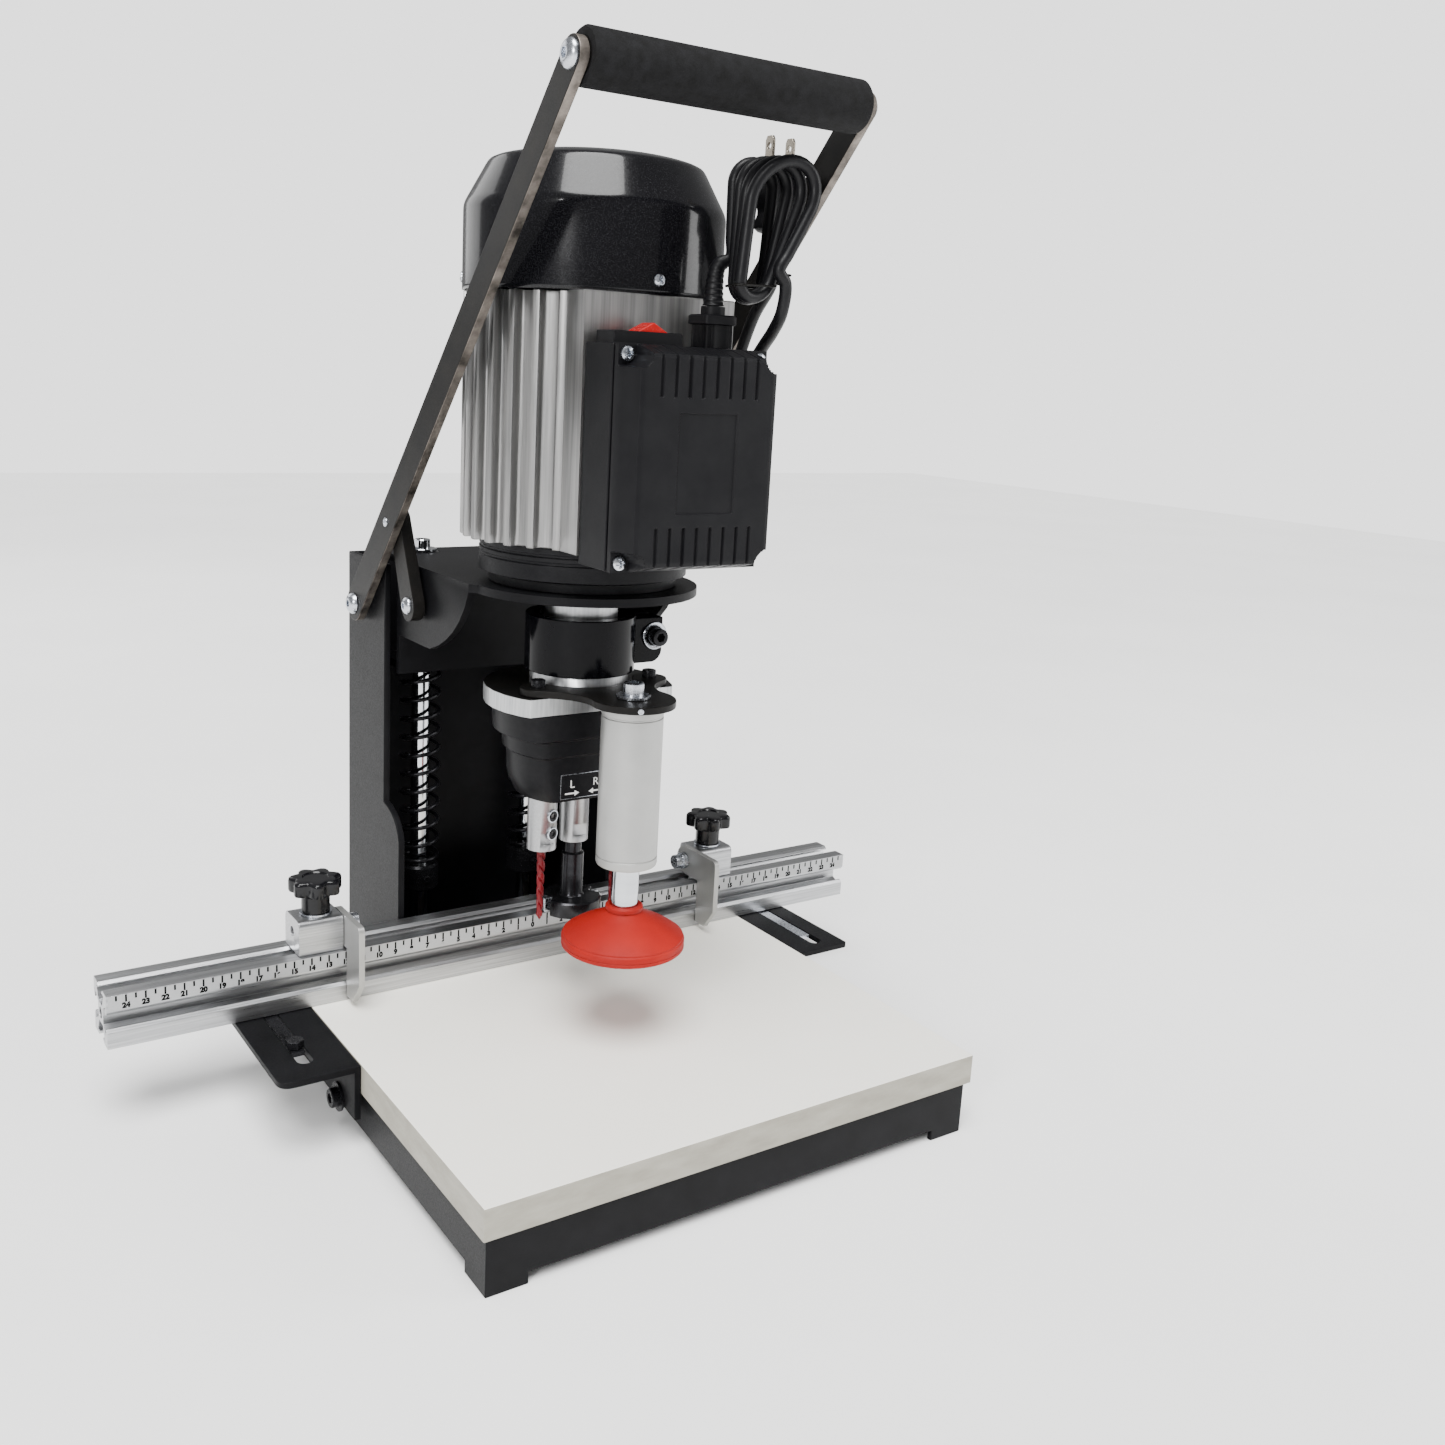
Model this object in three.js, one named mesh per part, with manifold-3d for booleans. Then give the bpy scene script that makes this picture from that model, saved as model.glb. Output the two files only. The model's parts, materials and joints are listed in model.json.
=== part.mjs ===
// Bench hinge boring machine: a motor with a three-spindle head slides down two sprung posts when the
// lever is pulled, and drills a hinge cup and two dowel holes into a door that lies against the fence.
// Millimetres, +Z up, the user stands at -Y. Machine coordinates have x = 0 on the cup drill, y = 0 on
// the front face of the fence and z = 0 on the bench. The finished group is centred on its base.
import * as THREE from 'three';
import { mergeVertices } from 'three/addons/utils/BufferGeometryUtils.js';
import Module from 'manifold-3d';

const wasm = await Module();
wasm.setup();

// General
const fit = 0.3; // gap between pieces that touch or slide
const overrun = 4; // how far a cutting shape runs past the face it cuts
const half = 0.5;
const round = 20; // sides of a plain round piece
const fine = 28; // sides of a large round piece
const small = 8; // sides of a screw or a bore
const hexSides = 6;
const arcSteps = 6; // steps of an arc in an outline

// Table
const boardWidth = 299;
const boardDepth = 252;
const boardThickness = 17;
const boardGap = 2; // between the board and the column's foot
const boardOffset = 9.5; // centre of the board, right of the cup drill
const boardOverhang = 2.5;
const trayHeight = 24;
const trayWall = 3;
const footHeight = 6;
const footLength = 22;
const trayRearMargin = 5; // behind the column

// Column
const columnClearance = 3.5; // between the carriage and the column's side
const columnWall = 4;
const columnFront = 56;
const columnRear = 115;
const columnHeight = 260; // from the tray deck to the top edge
const columnFootReach = 24; // how far the foot stands out in front of the column
const columnFootHeight = 95; // top of the straight front edge of the foot
const columnFootShoulder = 114; // where the foot has run back into the column
const columnFootBulgeShare = 0.83; // how far the shoulder's curve bulges forward

// Posts, their collars and springs
const postX = 38.8;
const postY = 85.4;
const postRadius = 6;
const postScrewHeadRadius = 5;
const postScrewHeadHeight = 5.5;
const postWasherRadius = 9;
const postWasherThickness = 1.6;
const collarRadius = 12.5;
const collarHeight = 17;
const collarLift = 39; // from the foot plate to the collar
const collarChamfer = 1.5;
const springWire = 2.6;
const springRadius = 11.5; // to the middle of the wire
const springTurns = 12;
const springSteps = 8;
const springSides = 5;

// Carriage
const deckTop = 246; // above the table
const deckThickness = 4.5;
const deckHalfWidth = 67.5;
const deckRear = 98;
const deckRearHalfWidth = 62;
const noseRadius = 64;
const cheekThickness = 4;
const cheekFront = -42;
const cheekFlatFront = 8; // where the level lower edge of the cheek starts
const cheekDrop = 45; // from the deck's top to the cheek's lower edge
const cheekCurveShare = 0.76; // how far forward the cheek's curved edge bulges
const cheekCurveDropShare = 0.75;
const apronThickness = 4;
const apronDrop = 69; // from the deck's top to the apron's lower edge
const bushRadius = 10.5;
const bushFlangeRadius = 13.5;
const bushFlange = 2;

// Motor
const motorY = -46; // the motor's axis is the cup drill's
const spigotRadius = 20.6;
const spigotLength = 49; // from the deck's top down
const registerRadius = 23.7;
const shaftRadius = 9;
const bellHeight = 24;
const bellRadius = 57.5;
const bellFootRadius = 52;
const bellFootHeight = 5;
const bellCavityDepth = 14;
const housingLength = 128;
const housingBore = 58;
const finRootRadius = 62;
const finTipRadius = 68;
const finCount = 30;
const finThicknessShare = 0.3; // of the pitch between two fins
const padHalfWidth = 44;
const padReach = 69; // from the motor's axis to the face of the switch box's pad
const statorLength = 96;
const statorInner = 36;
const rotorGap = 0.6;
const coverRadius = 69;
const coverTopRadius = 56;
const coverSkirt = 43;
const coverShoulder = 24; // height of the sloped shoulder
const coverCrown = 4;
const coverWall = 2.5;
const ventCount = 10;
const ventWidth = 5;
const ventLength = 20;
const ventRadius = 30;
const fanRadius = 52;
const fanLift = 6; // above the housing
const fanDisc = 3;
const fanHeight = 20;
const fanBladeThickness = 2;
const fanBladeCount = 7;

// Switch box
const boxBottom = 266.5; // above the table
const boxHeight = 107.6;
const boxBaseWidth = 86;
const boxBaseDepth = 25.7;
const boxCoverDepth = 19.7;
const boxBevel = 4;
const boxWall = 2.5;
const boxRimShare = 0.25; // straight part of the cover's side, as a share of its depth
const switchX = -20.5;
const switchLength = 39;
const switchWidth = 17;
const switchFrame = 6;
const rockerX = -14;
const rockerLength = 22;
const rockerWidth = 11;
const rockerRise = 6;
const rockerSink = 5;
const rockerWaistShare = 0.35;
const rockerTilt = -0.2; // radians, its left end pressed down
const glandX = 21.5;
const glandWidth = 25;
const glandDepth = 20;
const glandHeight = 20;
const glandNeck = 4;
const glandNeckRadius = 6;

// Drilling head
const clampRadius = 31;
const clampBore = 24.3;
const clampHeight = 31.7;
const clampLift = 18.8; // from the flange's underside to the clamp ring
const earReach = 46;
const earDepth = 28;
const earHeight = 26;
const earSlot = 2.5;
const sleeveRadius = 24;
const sleeveBore = 20.9;
const sleeveHeight = 28;
const flangeBottom = 177.5; // above the table
const flangeRadius = 53.5;
const flangeThickness = 10;
const flangeFlat = 28; // from the motor's axis to the flat front edge
const neckRadius = 28;
const headBore = 12;
const blockRadii = [48.8, 43, 40];
const blockFlats = [28, 25, 23];
const blockHeights = [14.5, 11, 26];
const gearChamberTop = 4; // chamber's depth that stays free above the gears
const spindlePitch = 24;
const spindleSetback = 6; // how far the outer spindles stand in front of the cup spindle
const spindleRadius = 8.5;
const spindleDrop = 31; // below the block
const journalRadius = 6;
const gearTeeth = 16;
const gearHeight = 12;
const toothRise = 0.8;
const toothFall = 1.3;
const toothTipShare = 0.22; // of the tooth pitch
const toothRootShare = 0.48;
const bitBore = 5.2;
const bitShank = 5;
const bitBoreDepth = 22;
const spindleFlatDepth = 1.4;
const spindleFlatHeight = 7;
const spindleFlatLift = 4;

// Drills
const dowelRadius = 2.5;
const dowelReach = 44; // below the spindle
const dowelTip = 3;
const cupShankReach = 7;
const cupBodyRadius = 6.5;
const cupBodyReach = 34;
const cupRadius = 17.5;
const cupHeight = 9;
const cupPointRadius = 2.5;
const cupPoint = 3;

// Hold-down
const holdY = -58.5; // from the motor's axis
const holdPlate = 4;
const holdLugRadius = 23;
const holdWingX = 35.5;
const holdWingY = -18;
const holdWingRadius = 10;
const holdInnerRadius = 30.5;
const holdRadius = 16.75;
const holdLength = 88.5;
const holdBore = 12.5;
const holdCap = 4.5;
const holdRodRadius = 7.5;
const holdRodReach = 38.7; // below the cylinder
const holdPistonLift = 26; // above the cylinder's lower end
const holdPistonHeight = 6;
const holdScrewRadius = 5.5;
const holdScrewHeight = 5;
const holdWasherRadius = 9.2;
const holdWasherThickness = 1.6;
const footTop = 23.3; // rod that shows between cylinder and foot
const padRadius = 34;
const padNeckRadius = 9.5;
const padRim = 6;
const padHeight = 24;
const padSocket = 8; // bottom of the rod's socket above the foot's face

// Lever
const pivotY = 88;
const pivotZ = 214.8; // above the table
const pinAlong = 74.5; // from the lever's pivot to the link's pin
const gripAlong = 372.5; // from the lever's pivot to the grip
const leverAngle = 0.8345; // radians above level
const armGap = 2; // between the column and the lever's arm
const armThickness = 5;
const armFootWidth = 21;
const armTopWidth = 16;
const gripRadius = 12.5;
const gripBarRadius = 8;
const pivotBolt = 4;
const pivotHeadRadius = 6.5;
const pivotHeadHeight = 3.5;
const pivotWasherRadius = 8;
const lockNut = 2.4;
const linkPinRadius = 3;
const linkY = 18.5; // of the link's lower pin
const linkZ = 224.7; // above the table
const linkThickness = 7;
const linkWidth = 18;
const linkTopWidth = 15;
const linkWasher = 1.5;

// Fence and its brackets
const railSize = 30;
const railLength = 500;
const railThroat = 8.2;
const railMouth = 12;
const railMouthDepth = 1.6;
const railLip = 2.4;
const railPocketWidth = 16.5;
const railPocketDepth = 9.4;
const railFloorWidth = 9;
const railBore = 3.2;
const bracketThickness = 3.5;
const bracketReaches = [39.5, 35.5]; // left and right, from the flange to the outer edge
const bracketFronts = [-76, -68];
const bracketCorners = [8, 2];
const bracketRear = 35;
const bracketFlangeRear = -27;
const bracketFlangeDrop = 31;
const bracketSlotWidth = 8.5;
const bracketSlotFront = -60;
const bracketSlotRear = 24;
const bracketBoltY = -53;
const bracketBoltDrop = 28; // below the table top
const clampBarFront = -46;
const clampBarWidth = 7.4;
const clampBarThickness = 2.6;
const clampHexRadius = 5;
const clampHexHeight = 4;
const clampHexY = -40;
const clampStudRadius = 3;
const clampWasherRadius = 9;
const clampNutRadius = 6.5;
const clampNutHeight = 5;

// Stops on the fence
const stopXs = [-133.2, 139.3]; // middle of each block
const stopEnds = [1, -1]; // the end of the block that carries the plate
const stopLength = 26;
const stopDepth = 24;
const stopHeight = 20;
const stopInset = 3; // from the fence's front face to the block's front face
const stopRounding = 4;
const stopScrewHeight = 11; // above the fence
const stopScrewRadius = 3;
const stopCollarRadius = 5.5;
const stopCollar = 3.5;
const stopHeadRadius = 4.5;
const stopHead = 5;
const stopPlate = 3.5;
const stopPlateFront = -20;
const stopPlateHead = 9.5; // radius of the plate's round end
const stopPlateToe = 3; // above the table
const stopPlateHeel = 16;
const stopPlateCorner = 4;
const tongueLength = 20;
const tongueFoot = 3.6;
const knobStud = 3;
const knobHubRadius = 8;
const knobHub = 11.5;
const knobRadius = 15.2;
const knobValley = 12;
const knobHeight = 9;
const knobLobes = 7;
const knobLobeSteps = 5;
const knobWasher = 1;

// Cord and plug
const cordRadius = 3.1;
const cordSides = 8;
const hankSides = 6;
const hankSteps = 24;
const hankLoops = 3.51;
const hankPitch = 7.4; // how far each loop lies in front of the one before
const hankDrift = 4.1; // and to its left, at the tie
const hankFoot = [37.5, -132.3, 399]; // bottom of the first loop, above the table
const hankHeight = 64;
const hankFootHalfWidth = 9;
const hankTopHalfWidths = [10, 18]; // of the first and the last loop
const hankLeans = [-1, 22]; // how far the tops of the first and the last loop lie to the right
const hankShares = [9, 3, 8, 4]; // steps over the top, down, round the foot and up
const hankStart = 0.93; // share of a loop, from where it reaches its top's arc, where the first one starts
const leadRoute = [[22.6, -129.6, 414]]; // from the gland to the hank, above the table
const tailRoute = [
  [42.6, -158, 406],
  [43.8, -155, 393],
  [46, -146, 384],
  [49, -135, 377],
  [51.5, -124, 369],
  [54, -114, 362],
  [57.5, -103.5, 358],
  [62, -95, 361.5],
  [65.3, -92.5, 371],
  [66.3, -96, 382],
  [65.6, -104, 394],
]; // from the hank to the plug, above the table
const plugX = 64;
const plugY = -119;
const plugZ = 433;
const plugWidth = 22;
const plugDepth = 16;
const plugHeight = 30;
const plugTail = 14;
const plugTailRadius = 5.5;
const bladeGap = 12.7;
const bladeWidth = 6.4;
const bladeThickness = 1.6;
const bladeLength = 17;

// Worked out
const columnHalfWidth = deckHalfWidth + columnClearance + columnWall;
const armInner = columnHalfWidth + armGap;
const boardRear = columnFront - columnFootReach - boardGap;
const boardFront = boardRear - boardDepth;
const deckLevel = footHeight + trayHeight;
const table = deckLevel + boardThickness;
const trayFront = boardFront + boardOverhang;
const trayRear = columnRear + trayRearMargin;
const trayWidth = boardWidth - boardOverhang - boardOverhang;
const machineMiddle = (boardFront + trayRear) * half;
const footPlateTop = deckLevel + fit + columnWall;
const collarBottom = footPlateTop + collarLift;
const collarTop = collarBottom + collarHeight;
const deckUnder = table + deckTop - deckThickness;
const deckSurface = table + deckTop;
const apronBottom = deckSurface - apronDrop;
const bushBottom = apronBottom - bushFlange;
const housingBottom = deckSurface + fit + bellHeight + fit;
const housingTop = housingBottom + housingLength;
const flangeUnder = table + flangeBottom;
const flangeTop = flangeUnder + flangeThickness;
const blockTop = flangeUnder - fit;
const blockBottom = blockTop - blockHeights.reduce((sum, height) => sum + height, 0);
const spindleBottom = blockBottom - spindleDrop;
const gearTop = blockTop - gearChamberTop;
const gearDistance = Math.hypot(spindlePitch, spindleSetback);
const gearRadius = gearDistance * half;
const holdX = 0;
const holdAxisY = motorY + holdY;
const holdTop = flangeTop;
const holdBottom = holdTop - holdLength;
const padTop = holdBottom - footTop;
const padBottom = padTop - padHeight;
const pivotHeight = table + pivotZ;
const boxRear = motorY - padReach - fit;
const boxJoint = boxRear - boxBaseDepth;
const boxTop = table + boxBottom + boxHeight;
const boxMiddle = table + boxBottom + boxHeight * half;
const stopFloor = table + fit + railSize + fit;
const railMiddle = railSize * half;

// Looks, as read from the photograph
const looks = {
  powderBlack: [0x1a1a1c, 0.55, 0.4],
  whiteBoard: [0xe9e5da, 0.5, 0],
  chrome: [0xc9ccd0, 0.15, 1],
  blackSteel: [0x141416, 0.4, 0.8],
  zinc: [0xb8babd, 0.35, 0.9],
  aluminium: [0xb4b7ba, 0.38, 0.95],
  castAluminium: [0x8e9092, 0.6, 0.8],
  glossBlack: [0x0c0c0e, 0.12, 0.1],
  blackPlastic: [0x17181a, 0.5, 0],
  anodisedBlack: [0x131315, 0.42, 0.6],
  anodisedSilver: [0xa9adb1, 0.45, 0.9],
  redRubber: [0xd5321f, 0.5, 0],
  redPaint: [0xb3231c, 0.4, 0.2],
  foam: [0x151515, 0.9, 0],
  rubber: [0x121212, 0.6, 0],
  copperIron: [0x6d4a34, 0.6, 0.6],
};

const machine = new THREE.Group();
machine.position.set(0, -machineMiddle, 0);

function look(name) {
  const [color, roughness, metalness] = looks[name];
  return new THREE.MeshStandardMaterial({ color, roughness, metalness });
}

// Signed volume of a closed mesh, positive when its faces point out.
function signedVolume(geometry) {
  const position = geometry.attributes.position;
  const index = geometry.index;
  const corners = [new THREE.Vector3(), new THREE.Vector3(), new THREE.Vector3()];
  let total = 0;
  for (let i = 0; i < index.count; i += corners.length) {
    corners.forEach((corner, k) => corner.fromBufferAttribute(position, index.getX(i + k)));
    total += corners[0].dot(corners[1].clone().cross(corners[2]));
  }
  return total;
}

// Merges shared vertices and turns the faces out.
function closed(geometry) {
  const bare = geometry.index ? geometry.toNonIndexed() : geometry.clone();
  bare.deleteAttribute('normal');
  bare.deleteAttribute('uv');
  const merged = mergeVertices(bare);
  if (signedVolume(merged) < 0) {
    const turned = Array.from(merged.index.array);
    for (let i = 0; i < turned.length; i += 3) {
      [turned[i + 1], turned[i + 2]] = [turned[i + 2], turned[i + 1]];
    }
    merged.setIndex(turned);
  }
  return merged;
}

function solid(geometry) {
  const merged = closed(geometry);
  return new wasm.Manifold(new wasm.Mesh({
    numProp: 3,
    vertProperties: new Float32Array(merged.attributes.position.array),
    triVerts: new Uint32Array(merged.index.array),
  }));
}

function toGeometry(body) {
  const mesh = body.getMesh();
  const geometry = new THREE.BufferGeometry();
  geometry.setAttribute('position', new THREE.BufferAttribute(mesh.vertProperties, 3));
  geometry.setIndex(new THREE.BufferAttribute(mesh.triVerts, 1));
  return geometry;
}

const join = (first, ...rest) => toGeometry(rest.reduce((sum, g) => sum.add(solid(g)), solid(first)));
const cut = (first, ...rest) => toGeometry(rest.reduce((sum, g) => sum.subtract(solid(g)), solid(first)));

// Box from its least and greatest corner.
function block(x0, x1, y0, y1, z0, z1) {
  const geometry = new THREE.BoxGeometry(x1 - x0, y1 - y0, z1 - z0);
  return geometry.translate((x0 + x1) * half, (y0 + y1) * half, (z0 + z1) * half);
}

// Round bar along an axis, from one place on that axis to another.
function bar(axis, radius, from, to, a = 0, b = 0, sides = round) {
  const geometry = new THREE.CylinderGeometry(radius, radius, to - from, sides);
  geometry.translate(0, (from + to) * half, 0);
  if (axis === 'x') return geometry.rotateZ(-Math.PI * half).translate(0, a, b);
  if (axis === 'y') return geometry.translate(a, 0, b);
  return geometry.rotateX(Math.PI * half).translate(a, b, 0);
}

// Turned piece: a profile of [radius, height] pairs about the z axis.
function turned(profile, sides = fine) {
  const points = profile.map(([radius, height]) => new THREE.Vector2(radius, height));
  const onAxis = profile[0][0] === 0 && profile[profile.length - 1][0] === 0;
  if (!onAxis) points.push(points[0].clone());
  return new THREE.LatheGeometry(points, sides).rotateX(Math.PI * half);
}

// Outline in x and y, raised from one height to another.
function raised(outline, from, to, curveSegments = arcSteps) {
  const shape = outline instanceof THREE.Shape ? outline : new THREE.Shape(outline);
  const geometry = new THREE.ExtrudeGeometry(shape, { depth: to - from, bevelEnabled: false, curveSegments });
  return geometry.translate(0, 0, from);
}

// Outline in y and z, carried along x from one place to another.
function sideways(outline, from, to) {
  const frame = new THREE.Matrix4().makeBasis(
    new THREE.Vector3(0, 1, 0),
    new THREE.Vector3(0, 0, 1),
    new THREE.Vector3(1, 0, 0),
  );
  return raised(outline, from, to).applyMatrix4(frame);
}

// Outline in x and z, carried along y from one place to another.
function forward(outline, from, to) {
  const frame = new THREE.Matrix4().makeBasis(
    new THREE.Vector3(1, 0, 0),
    new THREE.Vector3(0, 0, 1),
    new THREE.Vector3(0, -1, 0),
  );
  return raised(outline, -to, -from).applyMatrix4(frame);
}

// Corners of a circle in an outline.
function circle(radius, sides) {
  const corners = [];
  for (let i = 0; i < sides; i += 1) {
    const turn = (Math.PI * 2 * i) / sides;
    corners.push(new THREE.Vector2(Math.cos(turn) * radius, Math.sin(turn) * radius));
  }
  return corners;
}

const points = (pairs) => pairs.map(([a, b]) => new THREE.Vector2(a, b));

function add(name, geometry, material, x = 0, y = 0, z = 0) {
  const mesh = new THREE.Mesh(closed(geometry), look(material));
  mesh.name = name;
  mesh.position.set(x, y, z);
  machine.add(mesh);
  return mesh;
}

// The same piece on the left, and mirrored on the right.
function addPair(name, geometry, material) {
  add(`${name}_left`, geometry, material);
  add(`${name}_right`, geometry.clone().scale(-1, 1, 1), material);
}

// Outline that runs round two circles, as a strap or a link does.
function strap(ay, az, ar, by, bz, br) {
  const angle = Math.atan2(bz - az, by - ay);
  const lean = Math.acos((ar - br) / Math.hypot(by - ay, bz - az));
  const shape = new THREE.Shape();
  shape.absarc(ay, az, ar, angle + lean, angle - lean + Math.PI * 2, false);
  shape.absarc(by, bz, br, angle - lean, angle + lean, false);
  return shape;
}

// Unbroken round tube through points, with flat ends, from rings that turn with the path.
function sweep(path, radius, sides) {
  const positions = [];
  const faces = [];
  const tangent = (i) => {
    const next = path[Math.min(i + 1, path.length - 1)];
    return next.clone().sub(path[Math.max(i - 1, 0)]).normalize();
  };
  let normal = new THREE.Vector3(0, 0, 1).cross(tangent(0)).normalize();
  path.forEach((point, i) => {
    const along = tangent(i);
    normal = normal.clone().sub(along.clone().multiplyScalar(normal.dot(along))).normalize();
    const across = along.clone().cross(normal);
    for (let k = 0; k < sides; k += 1) {
      const turn = (Math.PI * 2 * k) / sides;
      const spoke = normal.clone().multiplyScalar(Math.cos(turn)).addScaledVector(across, Math.sin(turn));
      positions.push(...point.clone().addScaledVector(spoke, radius).toArray());
    }
  });
  for (let i = 0; i < path.length - 1; i += 1) {
    for (let k = 0; k < sides; k += 1) {
      const a = i * sides + k;
      const b = i * sides + ((k + 1) % sides);
      faces.push(a, b, b + sides, a, b + sides, a + sides);
    }
  }
  const last = (path.length - 1) * sides;
  for (let k = 1; k < sides - 1; k += 1) {
    faces.push(0, k + 1, k, last, last + k, last + k + 1);
  }
  const geometry = new THREE.BufferGeometry();
  geometry.setAttribute('position', new THREE.Float32BufferAttribute(positions, 3));
  geometry.setIndex(faces);
  return geometry;
}

// Least clear gap between turns of a tube, from its centre line: pairs further apart along the
// path than a stated length, less one diameter.
function leastGap(path, radius, apart) {
  let run = 0;
  const lengths = path.map((point, i) => (run += i ? point.distanceTo(path[i - 1]) : 0));
  let least = Infinity;
  path.forEach((point, i) => {
    for (let k = i + 1; k < path.length; k += 1) {
      if (lengths[k] - lengths[i] > apart) least = Math.min(least, point.distanceTo(path[k]));
    }
  });
  return least - radius - radius;
}

// Table: a pressed steel tray with corner feet, and a melamine board on it.
function buildTable() {
  const left = -trayWidth * half;
  const right = trayWidth * half;
  const shell = block(left, right, trayFront, trayRear, 0, deckLevel);
  const hollow = block(left + trayWall, right - trayWall, trayFront + trayWall, trayRear - trayWall,
    -overrun, deckLevel - trayWall);
  const sideNotch = block(left - overrun, right + overrun, trayFront + footLength,
    trayRear - footLength, -overrun, footHeight);
  const frontNotch = block(left + footLength, right - footLength, trayFront - overrun,
    trayRear + overrun, -overrun, footHeight);
  const holes = bar('x', stopScrewRadius + fit, left - overrun, right + overrun,
    bracketBoltY, table - bracketBoltDrop, small);
  add('base_tray', cut(shell, hollow, sideNotch, frontNotch, holes), 'powderBlack', boardOffset);
  const board = block(-boardWidth * half, boardWidth * half, boardFront, boardRear,
    deckLevel + fit, table);
  add('table_board', board, 'whiteBoard', boardOffset);
}

// Column: two side plates with a stepped foot, a back plate and a foot plate.
function buildColumn() {
  const bottom = deckLevel + fit;
  const top = deckLevel + columnHeight;
  const shoulder = deckLevel + columnFootShoulder;
  const toe = deckLevel + columnFootHeight;
  const toeY = columnFront - columnFootReach;
  const outline = new THREE.Shape();
  outline.moveTo(toeY, bottom);
  outline.lineTo(columnRear, bottom);
  outline.lineTo(columnRear, top);
  outline.lineTo(columnFront, top);
  outline.lineTo(columnFront, shoulder);
  outline.quadraticCurveTo(columnFront - columnFootReach * columnFootBulgeShare,
    toe + (shoulder - toe) * columnFootBulgeShare, toeY, toe);
  const outer = columnHalfWidth;
  const inner = columnHalfWidth - columnWall;
  const left = sideways(outline, -outer, -inner);
  const right = sideways(outline, inner, outer);
  const back = block(-outer, outer, columnRear - columnWall, columnRear, bottom, top);
  const foot = block(-outer, outer, toeY, columnRear, bottom, footPlateTop);
  const holes = bar('x', pivotBolt + fit, -outer - overrun, outer + overrun, pivotY, pivotHeight, small);
  add('column', cut(join(left, right, back, foot), holes), 'powderBlack');
}

// Wire of one post spring, from the collar up to the bush, with a level half turn at each end.
function springPath(bottom, top) {
  const path = [];
  const steps = springTurns * springSteps;
  const lead = springSteps * half;
  const start = bottom + fit + springWire * half;
  const end = top - fit - springWire * half;
  for (let i = 0; i <= steps; i += 1) {
    const turn = (Math.PI * 2 * i) / springSteps;
    const rise = Math.min(Math.max((i - lead) / (steps - lead - lead), 0), 1);
    path.push(new THREE.Vector3(Math.cos(turn) * springRadius, Math.sin(turn) * springRadius,
      start + (end - start) * rise));
  }
  const straight = (a, b) => a.clone().add(a.clone().sub(b).setLength(springWire));
  return [straight(path[0], path[1]), ...path, straight(path[steps], path[steps - 1])];
}

// Posts with their top screws, the collars that carry the springs, and the springs.
function buildPosts() {
  const washerBottom = deckSurface + fit;
  const headBottom = washerBottom + postWasherThickness;
  const headTop = headBottom + postScrewHeadHeight;
  const post = turned([
    [0, footPlateTop + fit], [postRadius, footPlateTop + fit], [postRadius, washerBottom],
    [postWasherRadius, washerBottom], [postWasherRadius, headBottom], [postScrewHeadRadius, headBottom],
    [postScrewHeadRadius, headTop], [0, headTop],
  ], round);
  const collar = turned([
    [postRadius + fit, collarBottom], [collarRadius, collarBottom],
    [collarRadius, collarTop - collarChamfer], [collarRadius - collarChamfer, collarTop],
    [postRadius + fit, collarTop],
  ], round);
  const wire = springPath(collarTop, bushBottom);
  const spring = sweep(wire, springWire * half, springSides);
  const bush = turned([
    [postRadius + fit, bushBottom], [bushFlangeRadius, bushBottom], [bushFlangeRadius, apronBottom - fit],
    [bushRadius, apronBottom - fit], [bushRadius, deckSurface], [postRadius + fit, deckSurface],
  ], round);
  ['left', 'right'].forEach((side, i) => {
    const x = i ? postX : -postX;
    add(`guide_post_${side}`, post, 'chrome', x, postY);
    add(`post_collar_${side}`, collar, 'blackSteel', x, postY);
    add(`spring_${side}`, spring, 'blackSteel', x, postY);
    add(`guide_bush_${side}`, bush, 'zinc', x, postY);
  });
  console.log(`spring least gap ${leastGap(wire, springWire * half, springRadius * Math.PI).toFixed(2)} mm`);
}

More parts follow.
